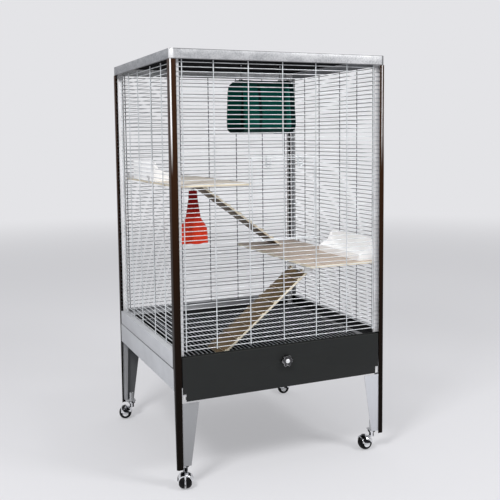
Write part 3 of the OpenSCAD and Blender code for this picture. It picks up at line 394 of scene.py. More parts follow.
@dataclass(frozen=True)
class HammeredPaint:
    """Hammer finish: metallic paint drawn into small round cells, with painted light and shade: lighter to
    the right on the front, darker on the left face, a painted highlight on the left corners and painted
    shade on the right ones.
    """

    name: str
    colour: Colour
    shaded_side_colour: Colour
    lit_colour: Colour = (0.86, 0.865, 0.87)
    left_corner_highlight: Colour = (0.93, 0.93, 0.94)
    right_corner_shade: Colour = (0.1, 0.1, 0.105)
    cell: float = 0.0036
    relief: float = 0.00012
    low_line: float = 1.4092
    high_line: float = 1.4378
    line_colour: Colour = (0.08, 0.08, 0.085)
    deep_tint: Colour = (0.42, 0.43, 0.45)

    def material(self) -> Material:
        """Builds the material.

        Returns:
            The material.
        """
        shader = Shader(self.name)
        place = shader.place()
        warp = shader.noise(place, 120.0, 2.0)
        cell = shader.cells(place, 1.0 / self.cell)
        height = (cell * 0.8 + warp * 0.35).clamp()
        rim = height.smooth(0.3, 0.8)
        side, ahead, _ = shader.facing()
        corner = (abs(side) + abs(ahead)).smooth(1.1, 1.38)
        patch = shader.noise(shader.place(size=(1.0, 1.0, 0.4)), 17.0, 3.0).smooth(0.35, 0.65)
        along, _, level = shader.parts(place)
        # Painted light and shade: the front lightens towards the right and the left face is darker.
        body = shader.mix(along.smooth(-0.1, 0.4), self.colour, self.lit_colour)
        body = shader.mix(side.smooth(-0.9, -0.6), self.shaded_side_colour, body)
        deep = shader.mix(1.0, body, self.deep_tint, "MULTIPLY")
        body = shader.mix(rim * 0.45 + patch * 0.35, body, deep)
        # Painted highlight on the left corners and painted shade on the right corners.
        body = shader.mix(corner, body, shader.mix(side > 0.0, self.left_corner_highlight, self.right_corner_shade))
        line = (level < self.low_line) + (level > self.high_line) * (ahead < -0.5)
        return shader.surface(
            Base_Color=shader.mix(line * 0.75, body, self.line_colour),
            Roughness=(rim * 0.18 + 0.3).clamp(),
            Metallic=0.35,
            Normal=shader.bump(height, self.relief),
        )


@dataclass(frozen=True)
class PostEnamel:
    """Glossy brown enamel over the folded posts, near black where little light reaches it, with a painted
    highlight on the upper front corners and painted light on the rear-right post's inward face.
    """

    name: str
    colour: Colour
    foot: Colour
    gloss: float = 0.06
    highlight_colour: Colour = (0.93, 0.93, 0.93)
    highlight_low: float = 1.03
    highlight_high: float = 1.2
    highlight_line_at: tuple[float, float] = (0.3862, 0.3884)
    lit_inner_colour: Colour = (0.8, 0.81, 0.83)
    lit_inner_low: float = 0.5

    def material(self) -> Material:
        """Builds the material.

        Returns:
            The material.
        """
        shader = Shader(self.name)
        place = shader.place()
        along = shader.noise(shader.place(size=(0.02, 0.02, 0.35)), 1.0, 3.0)
        speck = shader.noise(place, 700.0, 2.0)
        x, y, height = shader.parts(place)
        base = shader.mix(height.smooth(0.3, 1.2) * 0.8 + along * 0.2, self.foot, self.colour)
        side, ahead, _ = shader.facing()
        # Painted highlight: a pale streak on the rounded front corners and a thin line on the front-right
        # post, in the upper part.
        corner = (abs(side) + abs(ahead)).smooth(1.26, 1.38) * (ahead < -0.2)
        line = (x > self.highlight_line_at[0]) * (x < self.highlight_line_at[1]) * (ahead < -0.8)
        painted_highlight = corner.most(line) * height.smooth(self.highlight_low, self.highlight_high)
        base = shader.mix(painted_highlight, base, self.highlight_colour)
        # Painted light: the rear-right post's inward face, in its upper part, is painted light grey.
        lit_inner = (side < -0.7) * (x > 0.3) * (y > 0.3) * (height > self.lit_inner_low)
        return shader.surface(
            Base_Color=shader.mix(lit_inner, base, self.lit_inner_colour),
            Roughness=(along * 0.08 + speck * 0.06 + 0.24).clamp(),
            Specular_IOR_Level=self.gloss,
            Normal=shader.bump(speck, 0.00003),
        )


@dataclass(frozen=True)
class ZincWire:
    """Bright zinc plating on drawn wire, duller in patches."""

    name: str
    colour: Colour
    metallic: float = 0.75
    roughness: float = 0.34

    def material(self) -> Material:
        """Builds the material.

        Returns:
            The material.
        """
        shader = Shader(self.name)
        place = shader.place()
        patch = shader.noise(place, 22.0, 4.0)
        draw = shader.noise(place, 900.0, 2.0)
        dull = tuple(0.72 * c for c in self.colour)
        return shader.surface(
            Base_Color=shader.mix(patch.smooth(0.25, 0.75), dull, self.colour),
            Roughness=(patch * 0.22 + draw * 0.08 + (self.roughness - 0.14)).clamp(),
            Metallic=self.metallic,
            Normal=shader.bump(draw, 0.00003),
        )


@dataclass(frozen=True)
class ChromePlate:
    """Bright chrome with fine wiping marks, and painted reflection: dark and bright bands by the way the
    surface faces.
    """

    name: str
    colour: Colour = (0.9, 0.91, 0.93)
    dark: Colour = (0.02, 0.02, 0.022)
    roughness: float = 0.07

    def material(self) -> Material:
        """Builds the material.

        Returns:
            The material.
        """
        shader = Shader(self.name)
        place = shader.place()
        wipe = shader.noise(shader.place(size=(0.03, 0.002, 0.002)), 1.0, 3.0)
        haze = shader.noise(place, 60.0, 3.0)
        side, ahead, up = shader.facing()
        # Painted reflection: dark and bright bands by the way the surface faces.
        reflection_bands = (up * 5.2 + side * 4.1 - ahead * 3.4 + haze * 1.6).sine() * 0.5 + 0.5
        return shader.surface(
            Base_Color=shader.mix(reflection_bands.smooth(0.3, 0.5), self.dark, self.colour),
            Roughness=(wipe * 0.06 + haze * 0.08 + (self.roughness - 0.05)).clamp(),
            Metallic=1.0,
            Normal=shader.bump(wipe, 0.00001),
        )


@dataclass(frozen=True)
class BoardWood:
    """A glued board of wood staves with pale cut edges."""

    name: str
    face: Colour
    stripe: Colour
    edge: Colour
    grain: Axis = Axis.Y
    stave: float = 0.045
    turn: float = 0.0
    centre: Point = (0.0, 0.0, 0.0)

    def material(self) -> Material:
        """Builds the material.

        Returns:
            The material.
        """
        shader = Shader(self.name)
        turn = (0.0, self.turn, 0.0)
        flat = shader.place(self.centre, turn)
        length = [1.0, 1.0, 1.0]
        length[self.grain.value] = 14.0
        drawn = shader.place(self.centre, turn, tuple(length))
        fibre = shader.noise(drawn, 260.0, 5.0, 0.62)
        figure = shader.noise(drawn, 34.0, 3.0, 0.5)
        across = shader.parts(flat)[1 if self.grain is Axis.X else 0]
        stave = shader.noise(shader.place(self.centre, turn, tuple(length)), 1.0 / self.stave / 2.0, 0.0)
        ring = ((across * 520.0 + figure * 18.0).sine() * 0.5 + 0.5) * 0.55 + fibre * 0.45
        body = shader.mix(ring.smooth(0.3, 0.85), self.face, self.stripe)
        body = shader.mix(stave.smooth(0.4, 0.6) * 0.35, body, self.stripe)
        facing = shader.read("ShaderNodeNewGeometry", "Normal")
        normal = shader.parts(shader.place(turn=turn, vector=facing))[2]
        cut = 1.0 - abs(normal).smooth(0.55, 0.8)
        pale = shader.mix(fibre * 0.5, self.edge, tuple(0.86 * c for c in self.edge))
        return shader.surface(
            Base_Color=shader.mix(cut, body, pale),
            Roughness=(fibre * 0.2 + 0.42).clamp(),
            Specular_IOR_Level=0.35,
            Normal=shader.bump(fibre * 0.6 + ring * 0.4, 0.00012),
        )


@dataclass(frozen=True)
class FleeceCloth:
    """Brushed fleece: felted pile over a soft knit, lighter on its raised fibres, with painted shade from
    top to bottom, at both ends of its height and along creases.
    """

    name: str
    colour: Colour
    low: Colour
    top: float
    bottom: float
    end_shade: float = 0.0
    creases: tuple[float, ...] = ()
    pile: float = 0.0016

    def material(self) -> Material:
        """Builds the material.

        Returns:
            The material.
        """
        shader = Shader(self.name)
        place = shader.place()
        felt = shader.noise(place, 1.0 / self.pile, 4.0, 0.7)
        tuft = shader.noise(place, 1.0 / (self.pile * 6), 3.0)
        cloud = shader.noise(place, 18.0, 3.0)
        height = shader.parts(place)[2]
        # Painted shade: the colour shades from low at the bottom to colour at the top.
        shade_fall = height.smooth(self.bottom, self.top)
        body = shader.mix(shade_fall, self.low, self.colour)
        raised = tuple(min(1.0, 1.8 * c + 0.02) for c in self.colour)
        lit = shader.mix(felt.smooth(0.45, 0.75) * 0.35, body, raised)
        base = shader.mix(cloud.smooth(0.3, 0.7) * 0.3, lit, tuple(0.6 * c for c in self.colour))
        # Painted shade: darker at both ends of the height, and along each crease.
        middle, half = (self.top + self.bottom) / 2, (self.top - self.bottom) / 2
        ends = abs((height - middle) / half).smooth(0.6, 1.0)
        dark = ends * self.end_shade
        along = shader.parts(place)[0] + tuft * 0.004
        for crease in self.creases:
            dark = dark.most(0.8 - abs(along - (crease + 0.002)).smooth(0.001, 0.011) * 0.8)
        base = shader.mix(dark, base, tuple(0.1 * c for c in self.colour))
        return shader.surface(
            Base_Color=base,
            Roughness=(felt * 0.15 + 0.8).clamp(),
            Specular_IOR_Level=0.15,
            Sheen_Weight=0.08,
            Sheen_Roughness=0.5,
            Normal=shader.bump(felt * 0.6 + tuft * 0.4, 0.0011),
        )


@dataclass(frozen=True)
class MouldedPlastic:
    """Injection-moulded plastic with a spark-eroded grain, and a faint glow that is painted light."""

    name: str
    colour: Colour
    roughness: float = 0.5
    grain: float = 0.0009
    alpha: float = 1.0
    gloss: float = 0.5
    glow: float = 0.0

    def material(self) -> Material:
        """Builds the material.

        Returns:
            The material.
        """
        shader = Shader(self.name)
        place = shader.place()
        grain = shader.noise(place, 1.0 / self.grain, 2.0)
        flow = shader.noise(place, 9.0, 3.0)
        deep = tuple(0.92 * c for c in self.colour)
        return shader.surface(
            Base_Color=shader.mix(flow.smooth(0.3, 0.7), deep, self.colour),
            Roughness=(grain * 0.14 + flow * 0.1 + (self.roughness - 0.12)).clamp(),
            Alpha=self.alpha,
            Specular_IOR_Level=self.gloss,
            # The emission is painted light: the part glows faintly though it is no lamp.
            Emission_Color=(1.0, 1.0, 1.0),
            Emission_Strength=self.glow,
            Normal=shader.bump(grain, 0.00004),
        )


@dataclass(frozen=True)
class TyreRubber:
    """Hard black rubber with scuffed tread."""

    name: str
    def material(self) -> Material:
        """Builds the material.

        Returns:
            The material.
        """
        shader = Shader(self.name)
        place = shader.place()
        scuff = shader.noise(place, 160.0, 4.0, 0.6)
        base = shader.mix(scuff.smooth(0.5, 0.8) * 0.5, (0.003, 0.003, 0.003), (0.012, 0.012, 0.012))
        return shader.surface(
            Base_Color=base,
            Roughness=(scuff * 0.3 + 0.35).clamp(),
            Specular_IOR_Level=0.12,
            Normal=shader.bump(scuff, 0.0001),
        )


# ---- modelling helpers


def deselect() -> None:
    """Deselects everything."""
    for other in bpy.context.selected_objects:
        other.select_set(False)


def select_only(piece: Piece) -> None:
    """Deselects everything, and selects and activates one piece.

    Args:
        piece: The piece to work on.
    """
    deselect()
    piece.select_set(True)
    bpy.context.view_layer.objects.active = piece


def add_modifier(piece: Piece, kind: str, **settings: object) -> None:
    """Adds one modifier and applies it at once.

    Args:
        piece: The piece to change.
        kind: The modifier's type.
        settings: The modifier's attributes.
    """
    select_only(piece)
    modifier = piece.modifiers.new(kind.title(), kind)
    for key, value in settings.items():
        setattr(modifier, key, value)
    bpy.ops.object.modifier_apply(modifier=modifier.name)


def settle(piece: Piece, angle: float = 35.0) -> Piece:
    """Puts a finished piece's place into its mesh and smooths its shading.

    Args:
        piece: The piece.
        angle: Edges sharper than this many degrees stay sharp.

    Returns:
        The same piece.
    """
    select_only(piece)
    bpy.ops.object.transform_apply(location=True, rotation=True, scale=True)
    bpy.ops.object.shade_smooth_by_angle(angle=math.radians(angle))
    return piece


def edited(piece: Piece, select: bool = False) -> bmesh.types.BMesh:
    """Enters edit mode on a piece.

    Args:
        piece: The piece.
        select: Whether all of it is selected at the start.

    Returns:
        Its edit mesh, with faces as the select mode.
    """
    select_only(piece)
    bpy.ops.object.mode_set(mode="EDIT")
    bpy.ops.mesh.select_mode(type="FACE")
    bpy.ops.mesh.select_all(action="SELECT" if select else "DESELECT")
    return bmesh.from_edit_mesh(piece.data)


def bevel(piece: Piece, width: float, segments: int, angle: float, **settings: object) -> None:
    """Rounds a piece's sharp edges.

    Args:
        piece: The piece.
        width: Width of the rounding, in metres.
        segments: Its steps.
        angle: Edges sharper than this many degrees are rounded.
        settings: The Bevel modifier's other attributes.
    """
    limit = math.radians(angle)
    add_modifier(
        piece, "BEVEL", width=width, segments=segments, limit_method="ANGLE", angle_limit=limit, **settings
    )


def paint(material: Material, *pieces: Piece) -> None:
    """Gives pieces, new or from the CAD, their one material.

    Args:
        material: The material.
        pieces: The pieces.
    """
    for piece in pieces:
        slots = piece.data.materials
        if not slots:
            slots.append(material)
        for place in range(len(slots)):
            slots[place] = material


def paint_nodes(material: Material, *nodes: str) -> None:
    """Gives CAD nodes that show as they are their material."""
    paint(material, *(NODES[node] for node in nodes))


def eased_copy(
    node: str, width: float, material: Material, name: str | None = None, segments: int = 2
) -> Piece:
    """Copies a CAD node with its sharp edges rounded, and stands it in for the node.

    Args:
        node: The CAD node.
        width: Width of the rounding, in metres.
        material: The new piece's material.
        name: The new piece's name.
        segments: Steps of the rounding.

    Returns:
        The new piece, riding on the node's body.
    """
    piece = NODES[node].copy()
    piece.data = NODES[node].data.copy()
    for key in [k for k in piece.keys() if k.startswith("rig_")]:
        del piece[key]
    piece.parent = None
    piece.name = name or f"{node}_finished"
    bpy.context.scene.collection.objects.link(piece)
    piece.data.materials.clear()
    edited(piece, select=True)
    bpy.ops.mesh.remove_doubles(threshold=0.01 * MM)
    bpy.ops.mesh.dissolve_limited(angle_limit=math.radians(0.5))
    bpy.ops.object.mode_set(mode="OBJECT")
    bevel(piece, width, segments, 38.0, use_clamp_overlap=True, miter_outer="MITER_ARC")
    add_modifier(piece, "TRIANGULATE")
    settle(piece)
    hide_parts(node)
    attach(piece, NODES[node]["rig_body"])
    paint(material, piece)
    return piece


def stepped_disc(
    radius: float,
    depth: float,
    centre: Point,
    tilt: float,
    sides: int,
    steps: tuple[tuple[float, float], ...],
) -> Piece:
    """Models a round disc with stepped rings on its front.

    Args:
        radius: The disc's radius.
        depth: Its thickness.
        centre: Its middle.
        tilt: Turn about X in radians of its front, which looks up unturned.
        sides: Faces round it.
        steps: Width and rise of each ring, from the rim inwards.

    Returns:
        The disc.
    """
    deselect()
    bpy.ops.mesh.primitive_cylinder_add(
        vertices=sides, radius=radius, depth=depth, location=centre, rotation=(tilt, 0.0, 0.0)
    )
    disc = bpy.context.object
    bpy.ops.object.transform_apply(location=True, rotation=True, scale=True)
    front = Vector((0.0, -math.sin(tilt), math.cos(tilt)))
    mesh = edited(disc)
    for face in mesh.faces:
        face.select = face.normal.dot(front) > 0.9
    bmesh.update_edit_mesh(disc.data)
    for width, rise in steps:
        bpy.ops.mesh.inset(thickness=width * MM, depth=rise * MM)
    bpy.ops.object.mode_set(mode="OBJECT")
    return disc


def mesh_piece(name: str, points: list[Vector], faces: list[tuple[int, ...]]) -> Piece:
    """Makes a new piece from points and faces.

    Args:
        name: The piece's name.
        points: Its points.
        faces: Its faces, as places in the list of points.

    Returns:
        The piece.
    """
    mesh = bpy.data.meshes.new(name)
    mesh.from_pydata(points, [], faces)
    mesh.update()
    piece = bpy.data.objects.new(name, mesh)
    bpy.context.scene.collection.objects.link(piece)
    return piece


# ---- cabinet


def finish(kind: type, *values: object, **named: object) -> Material:
    """A field of Finishes, whose material is built with the set."""
    return field(default_factory=lambda: kind(*values, **named).material())


@dataclass
class Finishes:
    """The finishes of the whole cage, each built once."""

    band: Material = finish(HammeredPaint, "hammered_silver", (0.6, 0.605, 0.615), (0.4, 0.41, 0.43))
    roof: Material = finish(PowderCoat, "roof_black", MATT_BLACK, 0.85, dust=0.12, gloss=0.03)
    post: Material = finish(PostEnamel, "post_brown", (0.036, 0.0135, 0.005), (0.0015, 0.0014, 0.0008))
    liner: Material = finish(PowderCoat, "liner_silver", (0.93, 0.93, 0.94), dust=0.0)
    # Painted light and shade: the stand's front faces are darker at the left and lighter at the right, and
    # the rear legs' inner faces are near black.
    stand: Material = finish(
        PowderCoat,
        "stand_grey",
        (0.5, 0.51, 0.53),
        0.42,
        front=(0.3, 0.304, 0.315),
        front_right=(0.57, 0.585, 0.62),
        inside=(0.085, 0.088, 0.092),
    )
    # Painted shade: a thin dark line on the left faces where the rail meets the apron.
    rail: Material = finish(
        PowderCoat, "rail_grey", RAIL_GREY, 0.42, band=(0.3995, 0.4045), band_colour=(0.13, 0.135, 0.14)
    )
    # Painted shade: the rear and right rails' inner faces are painted black.
    rail_rear: Material = finish(
        PowderCoat, "rail_grey_rear", RAIL_GREY, 0.42, band=(0.3, 0.426), band_across=Axis.Y
    )
    rail_right: Material = finish(PowderCoat, "rail_grey_right", RAIL_GREY, 0.42, band=(0.3, 0.448))
    # Painted light and shade: this liner is a little lighter than the others, and its inward face at the
    # back is painted near black.
    liner_rear_right: Material = finish(
        PowderCoat,
        "liner_corner",
        (0.97, 0.97, 0.98),
        dust=0.0,
        band=(0.5, 1.4),
        band_colour=(0.03, 0.03, 0.034),
        band_start=0.332,
    )
    wire: Material = finish(ZincWire, "wire_zinc", (0.83, 0.86, 0.88), 0.35)
    # Painted shade: the right and rear walls' wire is the same zinc painted darker.
    shaded_right_wire: Material = finish(ZincWire, "wire_zinc_right", (0.3, 0.315, 0.33), 0.35)
    shaded_rear_wire: Material = finish(ZincWire, "wire_zinc_rear", (0.17, 0.185, 0.21), 0.3)
    grate_wire: Material = finish(ZincWire, "grate_zinc", (0.55, 0.58, 0.62), 0.5, 0.38)
    grate_frame: Material = finish(PowderCoat, "grate_black", MATT_BLACK, 0.5, gloss=0.3, dust=0.0)
    bracket: Material = finish(ZincWire, "bracket_zinc", (0.78, 0.78, 0.78), 0.5, 0.36)
    drawer: Material = finish(
        PowderCoat,
        "drawer_charcoal",
        (0.0145, 0.016, 0.0155),
        0.55,
        peel=0.0009,
        relief=0.00008,
        gloss=0.25,
        dust=0.03,
    )
    tray: Material = finish(MouldedPlastic, "tray_plastic", (0.002, 0.002, 0.0022), 0.7, gloss=0.08)
    knob: Material = finish(ChromePlate, "knob_chrome", (0.98, 0.98, 0.98), (0.07, 0.07, 0.072), 0.1)
    chrome: Material = finish(ChromePlate, "bright_chrome")
    hub: Material = finish(ZincWire, "hub_plate", (0.92, 0.93, 0.94), 0.3, 0.3)
    rubber: Material = finish(TyreRubber, "tyre_rubber")
    # Painted light: the feed trays glow faintly.
    pan: Material = finish(
        MouldedPlastic, "feed_plastic", (0.985, 0.985, 0.985), 0.3, alpha=0.95, glow=0.16
    )


@dataclass
class Cabinet:
    """Roof, posts, liners and wire walls."""

    finishes: Finishes
    edge: float = 0.5 * MM
    band_edge: float = 0.8 * MM

    def build(self) -> list[Piece]:
        """Dresses the cabinet.

        Returns:
            The new pieces.
        """
        look = self.finishes
        made = [eased_copy("top_band", self.band_edge, look.band, "roof_band")]
        for corner in CORNERS:
            liner = look.liner_rear_right if corner == "rear_right" else look.liner
            made.append(eased_copy(f"post_{corner}", self.edge, look.post))
            made.append(eased_copy(f"liner_{corner}", self.edge, liner))
        paint_nodes(look.roof, "roof_panel")
        paint_nodes(look.bracket, "cabinet_screws")
        paint_nodes(look.wire, "panel_left", "grille_left", "grille_right", "grille_lower", "grille_upper")
        paint_nodes(look.shaded_right_wire, "panel_right")
        paint_nodes(look.shaded_rear_wire, "panel_rear")
        return made


@dataclass
class Stand:
    """Rails, aprons, legs and the tray's runners."""

    finishes: Finishes
    edge: float = 0.6 * MM

    def build(self) -> list[Piece]:
        """Dresses the stand.

        Returns:
            The new pieces.
        """
        look = self.finishes
        rails = {
            "rail_left": look.rail,
            "rail_right": look.rail_right,
            "rail_rear": look.rail_rear,
            "rail_front": look.drawer,
            "apron_left": look.rail,
            "apron_right": look.rail,
            "apron_rear": look.rail,
            "tray_runners": look.rail,
        }
        made = [eased_copy(node, self.edge, material) for node, material in rails.items()]
        made += [eased_copy(f"leg_{corner}", self.edge, look.stand) for corner in CORNERS]
        return made


@dataclass
class GrateFloor:
    """The wire floor in its black frame."""

    finishes: Finishes
    edge: float = 0.5 * MM

    def build(self) -> list[Piece]:
        """Dresses the grate."""
        paint_nodes(self.finishes.grate_wire, "grate_wires")
        return [eased_copy("grate_frame", self.edge, self.finishes.grate_frame)]


@dataclass
class LitterDrawer:
    """Litter tray with its drop front, ears, knob and cam."""

    finishes: Finishes
    boss_centre: Point = (0.0, -385.2 * MM, 387.3 * MM)
    boss_r: float = 7.5 * MM
    boss_depth: float = 3.0 * MM
    boss_steps: tuple[tuple[float, float], ...] = ((2.0, 1.0), (1.6, -1.0), (1.2, 0.6))

    def knob_boss(self) -> Piece:
        """Models the stepped round boss in the middle of the knob.

        Returns:
            The boss, riding on the knob.
        """
        tilt = math.radians(90.0)
        boss = stepped_disc(self.boss_r, self.boss_depth, self.boss_centre, tilt, 48, self.boss_steps)
        boss.name = "knob_boss"
        bevel(boss, 0.4 * MM, 3, 30.0)
        settle(boss)
        paint(self.finishes.hub, boss)
        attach(boss, "knob")
        return boss

    def build(self) -> list[Piece]:
        """Dresses the drawer.

        Returns:
            The new pieces.
        """
        look = self.finishes
        made = [
            eased_copy("litter_tray", 0.9 * MM, look.tray, segments=3),
            eased_copy("tray_flap", 0.6 * MM, look.drawer, "drawer_front"),
            eased_copy("latch_knob", 1.6 * MM, look.knob, "turn_knob", 4),
        ]
        paint_nodes(look.bracket, "flap_ears", "knob_cam")
        return made + [self.knob_boss()]


@dataclass
class FrontDoor:
    """The wire door and its two slide latches."""

    finishes: Finishes

    def build(self) -> list[Piece]:
        """Dresses the door, which needs no new piece."""
        paint_nodes(self.finishes.wire, "front_door", "door_latch_left", "door_latch_right")
        return []


# ---- shelves, ramps and trays


@dataclass
class ShelvesAndRamps:
    """The two boards, their hooks and brackets, and the two ramps."""

    finishes: Finishes
    pale: Colour = (0.9, 0.83, 0.74)
    pale_dark: Colour = (0.78, 0.7, 0.6)
    beech: Colour = (0.78, 0.655, 0.555)
    beech_dark: Colour = (0.56, 0.445, 0.36)
    cream: Colour = (0.93, 0.84, 0.66)
    stain: Colour = (0.2, 0.13, 0.052)
    stain_dark: Colour = (0.055, 0.032, 0.013)
    ramp_stave: float = 0.03
    upper_pin: Point = (-0.112, 0.220, 0.980)
    lower_pin: Point = (0.104, -0.250, 0.680)
    upper_angle: float = 36.84
    lower_angle: float = -38.65

    def build(self) -> list[Piece]:
        """Dresses the boards and what carries them.

        Returns:
            The new pieces.
        """
        made = []
        for node, face, stripe in (
            ("shelf_upper", self.pale, self.pale_dark),
            ("shelf_lower", self.beech, self.beech_dark),
        ):
            wood = BoardWood(f"{node}_beech", face, stripe, self.cream).material()
            made.append(eased_copy(node, 1.2 * MM, wood, segments=3))
        for node, pin, angle in (
            ("ramp_upper", self.upper_pin, self.upper_angle),
            ("ramp_lower", self.lower_pin, self.lower_angle),
        ):
            colours = (self.stain, self.stain_dark, self.cream)
            wood = BoardWood(f"{node}_wood", *colours, Axis.X, self.ramp_stave, math.radians(angle), pin)
            made.append(eased_copy(node, 0.9 * MM, wood.material()))
        paint_nodes(self.finishes.bracket, "shelf_hooks", "ramp_brackets")
        return made


@dataclass
class FeedTrays:
    """Two clear white trays with high round backs."""

    finishes: Finishes
    edge: float = 1.0 * MM

    def build(self) -> list[Piece]:
        """Dresses the trays."""
        nodes = ("feed_tray_upper", "feed_tray_lower")
        return [eased_copy(node, self.edge, self.finishes.pan, segments=3) for node in nodes]


# ---- fleece


def tube_along(name: str, path: list[Vector], radius: float, closed: bool, sides: int = 10) -> Piece:
    """Makes a round binding or cord along a path.

    Args:
        name: The piece's name.
        path: Points of its middle line.
        radius: Its radius.
        closed: Whether the path joins its own start.
        sides: Faces round it.

    Returns:
        The tube as a mesh.
    """
    count = len(path)
    points, faces = [], []
    normal = None
    for i, point in enumerate(path):
        ahead = path[(i + 1) % count] if closed or i + 1 < count else point
        behind = path[i - 1] if closed or i > 0 else point
        along = (ahead - behind).normalized()
        if normal is None:
            normal = along.orthogonal().normalized()
        normal = (normal - along * normal.dot(along)).normalized()
        side = along.cross(normal)
        for k in range(sides):
            turn = math.tau * k / sides
            points.append(point + (normal * math.cos(turn) + side * math.sin(turn)) * radius)
    for i in range(count if closed else count - 1):
        for k in range(sides):
            a, b = i * sides + k, i * sides + (k + 1) % sides
            c, d = ((i + 1) % count) * sides + (k + 1) % sides, ((i + 1) % count) * sides + k
            faces.append((a, b, c, d))
    if not closed:
        faces.append(tuple(reversed(range(sides))))
        faces.append(tuple((count - 1) * sides + k for k in range(sides)))
    piece = mesh_piece(name, points, faces)
    edited(piece, select=True)
    bpy.ops.mesh.normals_make_consistent(inside=False)
    bpy.ops.object.mode_set(mode="OBJECT")
    return settle(piece, 60.0)


def skin(name: str, rings: list[list[Vector]]) -> Piece:
    """Joins closed rings of points into one sheet.

    Args:
        name: The piece's name.
        rings: Rings of equal length, from one end to the other.

    Returns:
        The open sheet.
    """
    count = len(rings[0])
    points = [p for ring in rings for p in ring]
    faces = [
        (i * count + k, i * count + (k + 1) % count, (i + 1) * count + (k + 1) % count, (i + 1) * count + k)
        for i in range(len(rings) - 1)
        for k in range(count)
    ]
    return mesh_piece(name, points, faces)


def turns_of(sides: int) -> list[float]:
    """Equal turns round a ring, in radians."""
    return [math.tau * k / sides for k in range(sides)]


@dataclass
class FleeceTunnel:
    """The hanging tunnel: a fleece tube with bound ends and loops on its hangers."""

    length: float = 0.202
    height: float = 0.198
    depth: float = 0.172
    middle: Point = (0.060, -0.045, 1.270)
    cloth: float = 0.004
    squareness: float = 0.42
    rings: int = 48
    sides: int = 144
    hanger_xs: tuple[float, float] = (-0.020, 0.140)
    creases: tuple[float, float] = (0.020, 0.119)

    def point(self, share: float, turn: float, inset: float) -> Vector:
        """A point of the tunnel's wall.

        Args:
            share: Place along the length, 0 to 1.
            turn: Angle round it in radians, 0 towards +Y and a quarter turn up.
            inset: Depth inside the outline.

        Returns:
            The point.
        """
        full = 1 / self.squareness
        c, s = (math.copysign(abs(v) ** full, v) for v in (math.cos(turn), math.sin(turn)))
        size = math.hypot(c, s)
        c, s = c / size, s / size
        angle = math.atan2(s, c)
        fold = 2.2 * MM * math.sin(4 * angle + 4.54 * share) * (1 - abs(s))
        ripple = 1.1 * MM * math.sin(7 * turn + 11 * share) * math.sin(math.pi * share)
        up = math.copysign(abs(s) ** self.squareness, s)
        out = math.copysign(abs(c) ** self.squareness, c)
        y = (self.depth / 2 - inset + fold + ripple) * out * (1 - 0.15 * up)
        z = (self.height / 2 - inset) * up
        high = max(0.0, z / (self.height / 2) - 0.8) * 5
        low = max(0.0, -z / (self.height / 2) - 0.8) * 5
        left = (14 * high + 4 * low) * MM
        right = (3 * high + 4 * low) * MM
        x = left + share * (self.length - left - right) - self.length / 2
        sag = 0.003 * max(0.0, up) ** 3 * math.sin(math.pi * min(1.0, max(0.0, (share - 0.12) / 0.76)))
        return Vector((x, y, z - sag)) + Vector(self.middle)

    def band(self, name: str, start: float, width: float, lift: float) -> Piece:
        """Makes a strip of cloth round the tube.

        Args:
            name: The piece's name.
            start: Where it starts, as a share of the length.
            width: Its width in metres.
            lift: How far it stands off the tube.

        Returns:
            The strip.
        """
        turns = turns_of(self.sides)
        rings = [
            [self.point(start + width / self.length * j / 4, a, depth) for a in turns]
            for j, depth in enumerate((0.4 * MM, -lift, -lift, -lift, 0.4 * MM))
        ]
        strip = skin(name, rings)
        add_modifier(strip, "SOLIDIFY", thickness=1.2 * MM, offset=-1.0)
        return settle(strip, 60.0)

    def build(self) -> list[Piece]:
        """Makes the tube, its bindings, seams and loops.

        Returns:
            The new pieces.
        """
        low, high = self.middle[2] - self.height / 2, self.middle[2] + self.height / 2
        # Painted shade on the tunnel cloths: towards the bottom, at the top and bottom, along the creases,
        # and near black on the facing near the right end.
        teal, trim, deep = (
            FleeceCloth(name, colour, colour_low, high, low, *folds).material()
            for name, colour, colour_low, *folds in (
                ("tunnel_fleece", (0.001, 0.125, 0.094), (0.001, 0.105, 0.08), 0.85, self.creases),
                ("tunnel_binding_cloth", (0.03, 0.24, 0.185), (0.02, 0.2, 0.15), 0.95),
                ("tunnel_facing_shaded_cloth", (0.001, 0.03, 0.026), (0.001, 0.022, 0.02), 0.7),
            )
        )
        turns = turns_of(self.sides)
        inset = 1.0 * MM
        rings = [[self.point(i / self.rings, a, inset) for a in turns] for i in range(self.rings + 1)]
        tube = skin("tunnel_tube", rings)
        add_modifier(tube, "SOLIDIFY", thickness=self.cloth, offset=-1.0, use_even_offset=True)
        settle(tube, 60.0)
        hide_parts("tunnel")
        pieces = [
            tube,
            self.band("tunnel_binding", 0.885, 4.5 * MM, 0.5 * MM),
            self.band("tunnel_facing", 0.915, 17.0 * MM, 0.3 * MM),
        ]
        for name, share in (("left", 0.0), ("right", 1.0)):
            ring = [self.point(share, a, self.cloth / 2 + inset) for a in turns]
            pieces.append(tube_along(f"tunnel_hem_{name}", ring, 2.4 * MM, True))
        for name, x in zip(("left", "right"), self.hanger_xs):
            loop = [
                Vector((x + 9 * MM * math.cos(t), self.middle[1], high - 5 * MM + 7.0 * MM * math.sin(t)))
                for t in [math.pi * k / 12 for k in range(13)]
            ]
            pieces.append(tube_along(f"tunnel_loop_{name}", loop, 2.0 * MM, False))
        cloths = {"tunnel_binding": trim, "tunnel_facing": deep}
        for piece in pieces:
            paint(cloths.get(piece.name, teal), piece)
            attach(piece, "hanging_tunnel")
        return pieces


